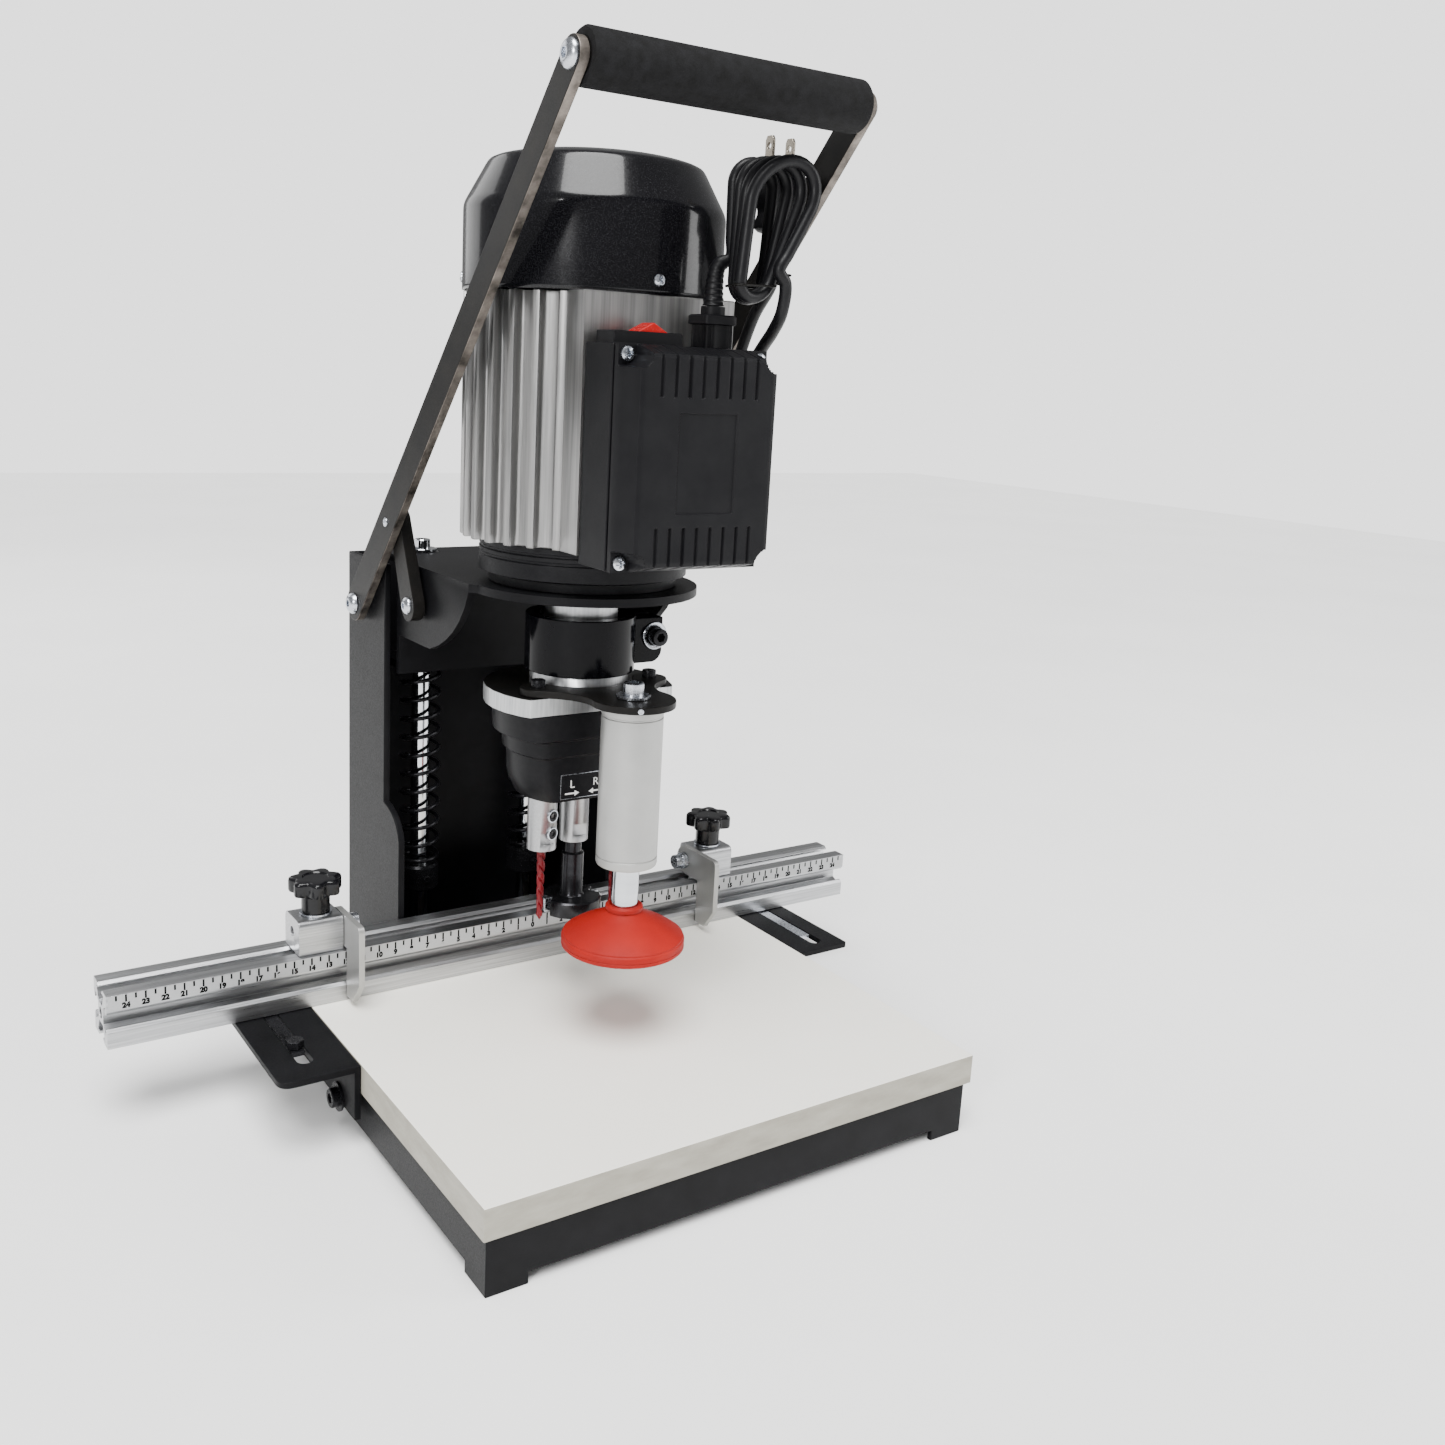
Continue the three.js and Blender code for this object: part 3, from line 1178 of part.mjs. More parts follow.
// Flip stops: each a block on the fence with a tongue in its slot, a plate on its end and a knob.
function buildStops() {
  const blockY = stopInset + stopDepth * half;
  const halfLength = stopLength * half;
  const halfDepth = stopDepth * half;
  const stopTop = stopFloor + stopHeight;
  const profile = new THREE.Shape();
  profile.moveTo(-halfDepth, stopFloor);
  profile.lineTo(halfDepth, stopFloor);
  profile.lineTo(halfDepth, stopTop - stopRounding);
  profile.quadraticCurveTo(halfDepth, stopTop, halfDepth - stopRounding, stopTop);
  profile.lineTo(-halfDepth + stopRounding, stopTop);
  profile.quadraticCurveTo(-halfDepth, stopTop, -halfDepth, stopTop - stopRounding);
  const screwZ = stopFloor + stopScrewHeight;
  const railTop = table + fit + railSize;
  const tongueHalf = tongueLength * half;
  const tongueBottom = railTop - railPocketDepth + fit + fit;
  const tongueTop = railTop - railLip - fit;
  const stem = railThroat * half - fit;
  const slide = railPocketWidth * half - fit - tongueFoot;
  const plateStart = halfLength + fit;
  const collarStart = plateStart + stopPlate + fit;
  const headStart = collarStart + stopCollar;
  const body = join(
    sideways(profile, -halfLength, halfLength),
    block(-tongueHalf, tongueHalf, railMiddle - blockY - stem, railMiddle - blockY + stem,
      tongueBottom, stopFloor + stopRounding),
    block(-tongueHalf, tongueHalf, railMiddle - blockY - slide, railMiddle - blockY + slide,
      tongueTop - tongueFoot, tongueTop),
    bar('x', stopScrewRadius, halfLength - overrun, collarStart + stopCollar * half, 0, screwZ, small),
    bar('x', stopCollarRadius, collarStart, headStart, 0, screwZ, round),
    bar('x', stopHeadRadius, headStart - fit, headStart + stopHead, 0, screwZ, round),
  );
  const knobHole = bar('z', knobStud + fit, tongueBottom - overrun, stopTop + overrun,
    0, railMiddle - blockY, small);
  const endRecess = bar('x', stopScrewRadius, -halfLength - overrun, -halfLength + overrun, 0, screwZ, small);
  const stopBlock = cut(body, knobHole, endRecess);

  const toe = table + fit + stopPlateToe;
  const plateOutline = new THREE.Shape();
  const front = stopPlateFront - blockY;
  const rear = -fit - fit - blockY;
  const plateTop = screwZ + stopPlateHead;
  plateOutline.absarc(0, screwZ, stopPlateHead, Math.PI * half, -Math.PI * half, true);
  plateOutline.lineTo(rear, screwZ - stopPlateHead);
  plateOutline.lineTo(rear, toe);
  plateOutline.lineTo((front + rear) * half, toe);
  plateOutline.lineTo(front, toe + stopPlateHeel - stopPlateToe);
  plateOutline.lineTo(front, plateTop - stopPlateCorner);
  plateOutline.quadraticCurveTo(front, plateTop, front + stopPlateCorner, plateTop);
  const plate = cut(
    sideways(plateOutline, plateStart, plateStart + stopPlate),
    bar('x', stopScrewRadius + fit, plateStart - overrun, plateStart + stopPlate + overrun, 0, screwZ, small),
  );

  const washerBottom = stopTop + fit;
  const hubTop = washerBottom + knobWasher + knobHub;
  const knobTop = hubTop + knobHeight;
  const knob = join(
    bar('z', knobStud, tongueBottom, hubTop, 0, 0, small),
    bar('z', knobHubRadius + knobWasher, washerBottom, washerBottom + knobWasher, 0, 0, round),
    bar('z', knobHubRadius, washerBottom + knobWasher * half, hubTop + fit, 0, 0, round),
    raised(starOutline(), hubTop, knobTop),
  );

  stopXs.forEach((x, i) => {
    const side = ['left', 'right'][i];
    const sign = stopEnds[i];
    add(`stop_block_${side}`, stopBlock.clone().scale(sign, 1, 1), 'aluminium', x, blockY);
    add(`stop_plate_${side}`, plate.clone().scale(sign, 1, 1), 'anodisedSilver', x, blockY);
    add(`stop_knob_${side}`, knob, 'glossBlack', x, railMiddle);
  });
}

// Point on the hank after a number of turns. A loop runs like a belt round two wheels, a wide one at
// its top and a narrow one at its foot, and the loops fan out from the tie at their feet.
function hankPoint(turns) {
  const [x, y, z] = hankFoot;
  const between = ([first, last]) => first + ((last - first) * turns) / hankLoops;
  const top = between(hankTopHalfWidths);
  const foot = hankFootHalfWidth;
  const slope = Math.asin((top - foot) / (hankHeight - top - foot));
  const [ax, az] = [top * Math.cos(slope), hankHeight - top - top * Math.sin(slope)];
  const [bx, bz] = [foot * Math.cos(slope), foot - foot * Math.sin(slope)];
  let along = ((turns + hankStart) % 1) * hankSteps;
  let stretch = 0;
  while (along >= hankShares[stretch]) {
    along -= hankShares[stretch];
    stretch += 1;
  }
  const share = along / hankShares[stretch];
  const overTop = Math.PI + slope - share * (Math.PI + slope + slope);
  const underFoot = -slope - share * (Math.PI - slope - slope);
  const [across, height] = [
    () => [top * Math.cos(overTop), hankHeight - top + top * Math.sin(overTop)],
    () => [ax + (bx - ax) * share, az + (bz - az) * share],
    () => [foot * Math.cos(underFoot), foot + foot * Math.sin(underFoot)],
    () => [-bx + (bx - ax) * share, bz + (az - bz) * share],
  ][stretch]();
  return new THREE.Vector3(
    x - hankDrift * turns + (between(hankLeans) * height) / hankHeight + across,
    y - hankPitch * turns,
    table + z + height,
  );
}

// Free cord: a lead out of the gland, a hank of upright loops, a tail and the plug.
function buildCord() {
  const steps = Math.round(hankSteps * hankLoops);
  const path = [];
  for (let i = 0; i <= steps; i += 1) {
    path.push(hankPoint(i / hankSteps));
  }
  const lineUp = (a, b) => a.clone().add(a.clone().sub(b).setLength(cordRadius + cordRadius));
  const loops = [lineUp(path[0], path[1]), ...path, lineUp(path[steps], path[steps - 1])];
  add('cord_hank', sweep(loops, cordRadius, hankSides), 'rubber');
  console.log(`hank least gap ${leastGap(loops, cordRadius, hankHeight).toFixed(2)} mm`);

  const switchY = (boxJoint + boxRear) * half;
  const glandTop = boxTop + fit + glandHeight;
  const ends = [loops[0], loops[loops.length - 1]];
  const into = [path[0].clone().sub(loops[0]).normalize(), loops[loops.length - 1].clone()
    .sub(path[steps]).normalize()];
  const leadEnd = ends[0].clone().addScaledVector(into[0], -fit);
  const tailStart = ends[1].clone().addScaledVector(into[1], fit);
  const step = cordRadius + cordRadius + cordRadius;
  const lead = [
    new THREE.Vector3(glandX, switchY, glandTop + fit),
    new THREE.Vector3(glandX, switchY, glandTop + step),
    ...leadRoute.map(([x, y, z]) => new THREE.Vector3(x, y, table + z)),
    leadEnd.clone().addScaledVector(into[0], -step),
    leadEnd,
  ];
  const tail = [
    tailStart,
    tailStart.clone().addScaledVector(into[1], step),
    ...tailRoute.map(([x, y, z]) => new THREE.Vector3(x, y, table + z)),
    new THREE.Vector3(plugX, plugY, table + plugZ - plugTail - step),
    new THREE.Vector3(plugX, plugY, table + plugZ - plugTail - fit),
  ];
  addCord('cord_lead', lead);
  addCord('cord_tail', tail);

  const top = table + plugZ + plugHeight;
  const bladeHalf = bladeThickness * half;
  const blades = [-bladeGap * half, bladeGap * half].map((x) => block(x - bladeHalf, x + bladeHalf,
    -bladeWidth * half, bladeWidth * half, top - overrun, top + bladeLength));
  const plug = join(
    block(-plugWidth * half, plugWidth * half, -plugDepth * half, plugDepth * half, table + plugZ, top),
    bar('z', plugTailRadius, table + plugZ - plugTail, table + plugZ + fit, 0, 0, small),
    ...blades,
  );
  add('plug', plug, 'rubber', plugX, plugY);
}

// Free stretch of cord: a round section carried along a smooth curve through hand-chosen points.
function addCord(name, route) {
  const curve = new THREE.CatmullRomCurve3(route, false, 'centripetal');
  const section = new THREE.Shape();
  for (let k = 0; k < cordSides; k += 1) {
    const turn = (Math.PI * 2 * k) / cordSides;
    const corner = [Math.cos(turn) * cordRadius, Math.sin(turn) * cordRadius];
    if (k) section.lineTo(...corner);
    else section.moveTo(...corner);
  }
  const steps = Math.ceil(curve.getLength() / (cordRadius + cordRadius));
  const tube = new THREE.ExtrudeGeometry(section, { steps, extrudePath: curve });
  add(name, tube, 'rubber');
  console.log(`${name} length ${curve.getLength().toFixed(0)} mm`);
}

const rotorBottom = flangeUnder + clampLift + fit + fit; // where the motor's shaft meets the cup spindle

buildTable();
buildColumn();
buildPosts();
buildCarriage();
buildMotor();
buildSwitchBox();
buildHead();
buildSpindles();
buildHoldDown();
buildLever();
buildFence();
buildStops();
buildCord();

export default machine;
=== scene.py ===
# %% [markdown]
# # A bench hinge boring machine
# The machine drills the cup and the two dowel holes of a cabinet hinge. A motor with a three-spindle
# head rides down two sprung posts when the lever is pulled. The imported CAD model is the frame: every
# piece here takes its place from it and moves with one of its bodies. The lesson goes from the camera
# to the finishes and the cord, and then through the machine's pieces.

# %% Load the frame
import json
import math

import bmesh
import bpy
import numpy as np
from mathutils import Matrix, Vector


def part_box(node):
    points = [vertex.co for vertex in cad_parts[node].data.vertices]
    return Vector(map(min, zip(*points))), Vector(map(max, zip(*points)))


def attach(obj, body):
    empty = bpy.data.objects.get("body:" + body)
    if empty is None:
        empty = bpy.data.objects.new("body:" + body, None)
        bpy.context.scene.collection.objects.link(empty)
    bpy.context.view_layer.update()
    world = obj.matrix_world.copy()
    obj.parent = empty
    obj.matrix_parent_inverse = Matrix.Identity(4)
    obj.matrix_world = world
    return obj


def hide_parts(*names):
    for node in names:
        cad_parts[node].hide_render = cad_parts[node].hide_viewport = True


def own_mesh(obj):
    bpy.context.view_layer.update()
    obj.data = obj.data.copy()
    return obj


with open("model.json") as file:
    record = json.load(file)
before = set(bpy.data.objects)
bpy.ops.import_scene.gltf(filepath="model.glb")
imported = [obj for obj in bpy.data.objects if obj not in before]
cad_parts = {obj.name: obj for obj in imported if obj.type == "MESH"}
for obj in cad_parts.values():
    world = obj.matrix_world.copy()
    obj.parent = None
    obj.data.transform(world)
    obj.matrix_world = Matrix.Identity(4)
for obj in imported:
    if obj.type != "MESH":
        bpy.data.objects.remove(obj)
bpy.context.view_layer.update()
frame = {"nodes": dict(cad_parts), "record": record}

# %% [markdown]
# ## Units
# Blender works in metres and a maker thinks in millimetres. The shapes below are worked out in
# millimetres in the frame's axes, and one factor turns them into metres when the mesh is made. The CAD
# keeps a small gap between pieces that touch, and the pieces here keep it too.

# %% Units and boxes
MM = 0.001
SEAT_GAP = 0.3
SIDES = ("left", "right")


def box(node):
    """Lowest and highest corner of a CAD node, in millimetres."""
    low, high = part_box(node)
    return np.array(low) / MM, np.array(high) / MM


def middle(node):
    """Middle of a CAD node's box, in millimetres."""
    low, high = box(node)
    return (low + high) / 2


def levels(node):
    """Lowest and highest z of a CAD node, in millimetres."""
    low, high = box(node)
    return low[2], high[2]


print("table top, mm:", round(float(box("table_board")[1][2]), 1))

# %% [markdown]
# ## Camera
# The camera's place, direction and lens were fitted to the scale on the fence, whose centimetres are
# known. A lens that isn't in the middle of its picture becomes a small shift.

# %% Camera
IMAGE_SIDE = 1445
SENSOR_WIDTH = 36
FOCAL_PIXELS = 1393.349
PRINCIPAL_POINT = (667.486, 672.688)
CAMERA_PLACE = (-0.386485, -0.661968, 0.411214)
CAMERA_RIGHT = (0.83576, -0.54695, 0.04848)
CAMERA_UP = (0.07773, 0.20526, 0.97562)
CAMERA_AHEAD = (0.54356, 0.81161, -0.21406)


def put_in_scene(name, data):
    """A new object in the scene, for a mesh, a camera, a lamp or words."""
    thing = bpy.data.objects.new(name, data)
    bpy.context.scene.collection.objects.link(thing)
    return thing


def make_camera():
    """Pinhole camera: lens = focal pixels x sensor / image side, shift = offset of the picture's middle."""
    data = bpy.data.cameras.new("camera")
    data.sensor_width = SENSOR_WIDTH
    data.lens = FOCAL_PIXELS * SENSOR_WIDTH / IMAGE_SIDE
    data.shift_x = (IMAGE_SIDE / 2 - PRINCIPAL_POINT[0]) / IMAGE_SIDE
    data.shift_y = (PRINCIPAL_POINT[1] - IMAGE_SIDE / 2) / IMAGE_SIDE
    camera = put_in_scene("camera", data)
    turn = np.eye(4)
    turn[:3, 0] = CAMERA_RIGHT
    turn[:3, 1] = CAMERA_UP
    turn[:3, 2] = -np.array(CAMERA_AHEAD)
    turn[:3, 3] = CAMERA_PLACE
    camera.matrix_world = Matrix(turn.tolist())
    bpy.context.scene.camera = camera
    return camera


camera = make_camera()
print("lens, mm:", round(camera.data.lens, 2))

# %% [markdown]
# ## Meshes from arrays
# A piece is a grid of points, worked out as whole arrays. The grid's faces need only counting: face
# (i, j) joins rows i and i + 1 with columns j and j + 1. One function turns points and faces into a
# finished piece: it welds doubles, turns the faces out, shades curved parts smooth, softens the edges
# with a bevel, parents the piece to the body it rides on, and hides the CAD nodes it stands for.

# %% Piece helpers
BODY_OF = {node: body for body, nodes in frame["record"]["behaviour"]["bodies"].items() for node in nodes}
SHARP_EDGE = math.radians(38)
BEVELLED_EDGE = math.radians(32)
WELD_DISTANCE = 0.002


def grid_faces(rows, columns, close_rows=False, close_columns=True):
    """Corner numbers of a grid's faces, row by row."""
    i, j = np.meshgrid(
        np.arange(rows if close_rows else rows - 1),
        np.arange(columns if close_columns else columns - 1),
        indexing="ij",
    )
    down, right = (i + 1) % rows, (j + 1) % columns
    corners = [i * columns + j, i * columns + right, down * columns + right, down * columns + j]
    return np.stack(corners, axis=-1).reshape(-1, 4).tolist()


def dress(piece, finish, body, stands_for=(), bevel=0.0):
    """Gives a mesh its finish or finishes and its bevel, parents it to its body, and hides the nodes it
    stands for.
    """
    for coat in finish if isinstance(finish, list) else [finish]:
        piece.data.materials.append(coat)
    if bevel:
        soft = piece.modifiers.new("soft edges", "BEVEL")
        soft.width = bevel * MM
        soft.segments = 2
        soft.limit_method = "ANGLE"
        soft.angle_limit = BEVELLED_EDGE
        soft.harden_normals = True
    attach(piece, body)
    if stands_for:
        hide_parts(*stands_for)
    return piece


def shade(mesh):
    """Smooth shading with sharp creases."""
    mesh.shade_smooth()
    mesh.set_sharp_from_angle(angle=SHARP_EDGE)


def make_piece(name, points, faces, finish, body, stands_for=(), bevel=0.0, zones=None):
    """A finished piece from points in millimetres. zones gives each face the number of its finish."""
    mesh = bpy.data.meshes.new(name)
    mesh.from_pydata((np.asarray(points, float) * MM).tolist(), [], [list(face) for face in faces])
    if zones is not None:
        mesh.polygons.foreach_set("material_index", np.asarray(zones, np.int32))
    work = bmesh.new()
    work.from_mesh(mesh)
    bmesh.ops.remove_doubles(work, verts=work.verts, dist=WELD_DISTANCE * MM)
    bmesh.ops.recalc_face_normals(work, faces=work.faces)
    work.to_mesh(mesh)
    work.free()
    shade(mesh)
    return dress(put_in_scene(name, mesh), finish, body, stands_for, bevel)


def stand_in(name, node, shape, finish, bevel=0.0):
    """A finished piece that stands for one CAD node and rides on its body."""
    return make_piece(name, *shape, finish, BODY_OF[node], (node,), bevel)


def joined(*shapes):
    """Several (points, faces) as one."""
    points, faces, start = [], [], 0
    for shape_points, shape_faces in shapes:
        points.append(np.asarray(shape_points, float))
        faces += [[corner + start for corner in face] for face in shape_faces]
        start += len(shape_points)
    return np.concatenate(points), faces


# %% [markdown]
# ## Turned, pressed and swept shapes
# Most machine parts are one of three surfaces. A turned part is a profile carried round an axis, a cut
# plate is an outline carried along an axis, and a wire or cord is a circle carried along a path. Shapes
# that aren't quite round are rings of points whose radius changes with the angle, joined in a loft.

# %% Shape helpers
def softened(profile, radius, steps):
    """A profile whose inner corners are arcs: each corner becomes a quadratic curve between two points
    that lie radius away from it, or a third of the side where a side is short."""
    profile = np.asarray(profile, float)
    out = [profile[:1]]
    t = np.linspace(0, 1, steps + 1)[:, None]
    for before, corner, after in zip(profile[:-2], profile[1:-1], profile[2:]):
        back, ahead = before - corner, after - corner
        a = corner + back * min(1 / 3, radius / max(np.linalg.norm(back), 1e-6))
        b = corner + ahead * min(1 / 3, radius / max(np.linalg.norm(ahead), 1e-6))
        out.append((1 - t) ** 2 * a + 2 * t * (1 - t) * corner + t**2 * b)
    out.append(profile[-1:])
    return np.concatenate(out)


def bar(radius, low, high):
    """Profile of a plain round bar."""
    return [(0, low), (radius, low), (radius, high), (0, high)]


def ring(bore, radius, low, high):
    """Profile of a plain ring."""
    return [(bore, low), (radius, low), (radius, high), (bore, high)]


def turned(profile, centre=(0, 0, 0), axis="z", sides=96, socket=None):
    """Surface of revolution: point(i, angle) = centre + along_i on the axis + radius_i round it.
    socket = (radius, depth) sinks a hexagon into the last face: r = R cos 30 / cos(angle in its sixth)."""
    profile = np.asarray(profile, float)
    angle = np.linspace(0, 2 * np.pi, sides, endpoint=False)
    radius = np.repeat(profile[:, :1], sides, axis=1)
    along = np.repeat(profile[:, 1:], sides, axis=1)
    if socket:
        size, depth = socket
        level = profile[-1, 1]
        floor = level - np.sign(level - profile[0, 1]) * depth
        folded = (angle + np.pi / 6) % (np.pi / 3) - np.pi / 6
        hexagon = size * np.cos(np.pi / 6) / np.cos(folded)
        radius = np.vstack([radius, np.full(sides, size * 1.12), hexagon, hexagon, hexagon * 0])
        along = np.vstack([along, *(np.full(sides, value) for value in (level, level, floor, floor))])
    u, v = radius * np.cos(angle), radius * np.sin(angle)
    order = {"x": (along, u, v), "y": (v, along, u), "z": (u, v, along)}[axis]
    points = np.stack(order, axis=-1).reshape(-1, 3) + np.asarray(centre, float)
    closed = bool(radius[0, 0] > 0 and radius[-1, 0] > 0)
    return points, grid_faces(len(radius), sides, close_rows=closed)


def round_angles(sides):
    """Angles round an axis, as one row."""
    return np.linspace(0, 2 * np.pi, sides, endpoint=False)[None]


def columns(rows):
    """The columns of a table, each standing upright so that it meets a row of angles in a grid."""
    return (np.array(column, float)[:, None] for column in zip(*rows))


def rings_round(centre, r, angle, z):
    """Rings of points: x = centre + r cos(angle), y = centre + r sin(angle), z."""
    return np.stack([centre[0] + r * np.cos(angle), centre[1] + r * np.sin(angle), z + 0 * angle], axis=-1)


def squared_rings(centre, a, b, power, angle, z):
    """Rings of a superellipse: x = a |cos|^power, y = b |sin|^power, each with its sign."""
    x = a * np.sign(np.cos(angle)) * np.abs(np.cos(angle)) ** power
    y = b * np.sign(np.sin(angle)) * np.abs(np.sin(angle)) ** power
    return np.stack([centre[0] + x, centre[1] + y, z + 0 * angle], axis=-1)


def lofted(rings, close_rows=True):
    """Rings of equally many points joined in order, as one shell."""
    rings = np.asarray(rings, float)
    return rings.reshape(-1, 3), grid_faces(rings.shape[0], rings.shape[1], close_rows=close_rows)


def prism(outline, low, high, axis="z"):
    """Outline carried along an axis: its points at both ends, the sides between, and an end face each."""
    outline = np.asarray(outline, float)
    count = len(outline)
    ends = []
    for level in (low, high):
        along = np.full((count, 1), float(level))
        a, b = outline[:, :1], outline[:, 1:]
        ends.append(np.hstack({"x": (along, a, b), "y": (a, along, b), "z": (a, b, along)}[axis]))
    faces = grid_faces(2, count)
    faces += [list(range(count))[::-1], list(range(count, 2 * count))]
    return np.concatenate(ends), faces


def block(low, high):
    """Box between two corners, as a prism."""
    (x0, y0, z0), (x1, y1, z1) = low, high
    return prism([(x0, y0), (x1, y0), (x1, y1), (x0, y1)], z0, z1)


def arc(centre, radius, start, end, steps=24):
    """Points of an arc, angles in radians."""
    angle = np.linspace(start, end, steps)
    return np.stack([centre[0] + radius * np.cos(angle), centre[1] + radius * np.sin(angle)], axis=1)


def strap(a, radius_a, b, radius_b):
    """Outline that runs round two circles: two arcs whose ends are the tangent points."""
    a, b = np.asarray(a, float), np.asarray(b, float)
    heading = math.atan2(*(b - a)[::-1])
    lean = math.acos((radius_a - radius_b) / np.linalg.norm(b - a))
    back = arc(a, radius_a, heading + lean, heading - lean + 2 * math.pi)
    return np.concatenate([back, arc(b, radius_b, heading - lean, heading + lean)])


def tube(path, radius, sides=20):
    """Circle carried along a path. Each ring's first spoke is the last ring's, turned least."""
    path = np.asarray(path, float)
    tangent = np.gradient(path, axis=0)
    tangent /= np.linalg.norm(tangent, axis=1)[:, None]
    spoke = np.cross(tangent[0], (0.0, 0.0, 1.0))
    spoke = np.array((1.0, 0.0, 0.0)) if np.linalg.norm(spoke) < 0.2 else spoke
    spokes = []
    for direction in tangent:
        spoke = spoke - direction * (spoke @ direction)
        spoke = spoke / np.linalg.norm(spoke)
        spokes.append(spoke)
    spokes = np.array(spokes)
    across = np.cross(tangent, spokes)
    angle = np.linspace(0, 2 * np.pi, sides, endpoint=False)[None, :, None]
    radius = np.broadcast_to(np.asarray(radius, float), len(path))[:, None, None]
    rings = path[:, None] + radius * (spokes[:, None] * np.cos(angle) + across[:, None] * np.sin(angle))
    faces = grid_faces(len(path), sides)
    last = (len(path) - 1) * sides
    faces += [list(range(sides))[::-1], list(range(last, last + sides))]
    return rings.reshape(-1, 3), faces


def smooth_path(points, steps=8):
    """Centripetal Catmull-Rom curve through points, steps between each pair."""
    points = np.asarray(points, float)
    points = np.vstack([2 * points[0] - points[1], points, 2 * points[-1] - points[-2]])
    out = []
    share = np.linspace(0, 1, steps, endpoint=False)[:, None]
    for p0, p1, p2, p3 in zip(points[:-3], points[1:-2], points[2:-1], points[3:]):
        k0 = 0.0
        k1 = k0 + max(np.linalg.norm(p1 - p0), 1e-6) ** 0.5
        k2 = k1 + max(np.linalg.norm(p2 - p1), 1e-6) ** 0.5
        k3 = k2 + max(np.linalg.norm(p3 - p2), 1e-6) ** 0.5
        t = k1 + (k2 - k1) * share
        a1 = (k1 - t) / (k1 - k0) * p0 + (t - k0) / (k1 - k0) * p1
        a2 = (k2 - t) / (k2 - k1) * p1 + (t - k1) / (k2 - k1) * p2
        a3 = (k3 - t) / (k3 - k2) * p2 + (t - k2) / (k3 - k2) * p3
        b1 = (k2 - t) / (k2 - k0) * a1 + (t - k0) / (k2 - k0) * a2
        b2 = (k3 - t) / (k3 - k1) * a2 + (t - k1) / (k3 - k1) * a3
        out.append((k2 - t) / (k2 - k1) * b1 + (t - k1) / (k2 - k1) * b2)
    return np.vstack([*out, points[-2]])


# %% [markdown]
# ## Finishes
# Each finish is one shader with small variations in colour, gloss and relief, read from a noise in the
# object's own coordinates. Stretching the noise makes brushed or turned lines out of it. The same few
# nodes serve for powder coat, cast metal, plastic and rubber, only their scales and tones differ.

# %% Finish helpers
class Finish:
    """One material with its shader, and short ways to add and join nodes."""

    def __init__(self, name, metal=0.0, **sockets):
        """A new material. Each further word names a socket of the shader, with its value."""
        self.material = bpy.data.materials.new(name)
        self.material.use_nodes = True
        self.tree = self.material.node_tree
        self.shader = self.tree.nodes["Principled BSDF"]
        self.shader.inputs["Metallic"].default_value = metal
        for socket, value in sockets.items():
            self.shader.inputs[socket.replace("_", " ")].default_value = value

    def add(self, kind, **values):
        """A new node with its settings."""
        node = self.tree.nodes.new(kind)
        for key, value in values.items():
            setattr(node, key, value)
        return node

    def join(self, output, target):
        """A link from a node's output to a socket."""
        self.tree.links.new(output, target)

    def place(self, stretch=(1, 1, 1)):
        """Object coordinates, with each axis stretched."""
        source = self.add("ShaderNodeTexCoord")
        mapping = self.add("ShaderNodeMapping")
        mapping.inputs["Scale"].default_value = stretch
        self.join(source.outputs["Object"], mapping.inputs["Vector"])
        return mapping.outputs["Vector"]

    def noise(self, scale, stretch=(1, 1, 1), detail=4.0, rough=0.55):
        """Noise at a scale per metre, as a number from 0 to 1."""
        node = self.add("ShaderNodeTexNoise")
        node.inputs["Scale"].default_value = scale
        node.inputs["Detail"].default_value = detail
        node.inputs["Roughness"].default_value = rough
        self.join(self.place(stretch), node.inputs["Vector"])
        return node.outputs["Fac"]

    def ramp(self, source, stops, target):
        """A ramp of (position, colour or number) stops between a number and a socket."""
        node = self.add("ShaderNodeValToRGB")
        elements = node.color_ramp.elements
        while len(elements) < len(stops):
            elements.new(0.5)
        for element, (position, value) in zip(elements, stops):
            element.position = position
            element.color = (*value, 1) if hasattr(value, "__len__") else (value, value, value, 1)
        self.join(source, node.inputs["Fac"])
        self.join(node.outputs["Color"], target)
        return node

    def relief(self, source, depth, strength=1.0, under=None):
        """A bump of that depth in millimetres, on top of another one if there is one."""
        node = self.add("ShaderNodeBump")
        node.inputs["Strength"].default_value = strength
        node.inputs["Distance"].default_value = depth * MM
        self.join(source, node.inputs["Height"])
        if under is not None:
            self.join(under, node.inputs["Normal"])
        self.join(node.outputs["Normal"], self.shader.inputs["Normal"])
        return node.outputs["Normal"]


def surface(name, dark, light, gloss, metal=0.0, mottle=60, grain=900, depth=0.05, stretch=(1, 1, 1),
            shine=0.5):
    """The common finish: mottled tone between dark and light, roughness between two values, fine relief."""
    finish = Finish(name, metal, Specular_IOR_Level=shine)
    broad = finish.noise(mottle, stretch)
    fine = finish.noise(grain, stretch, detail=3.0)
    finish.ramp(broad, [(0.3, dark), (0.7, light)], finish.shader.inputs["Base Color"])
    finish.ramp(fine, [(0.3, gloss[0]), (0.7, gloss[1])], finish.shader.inputs["Roughness"])
    finish.relief(fine, depth, 0.6)
    return finish.material


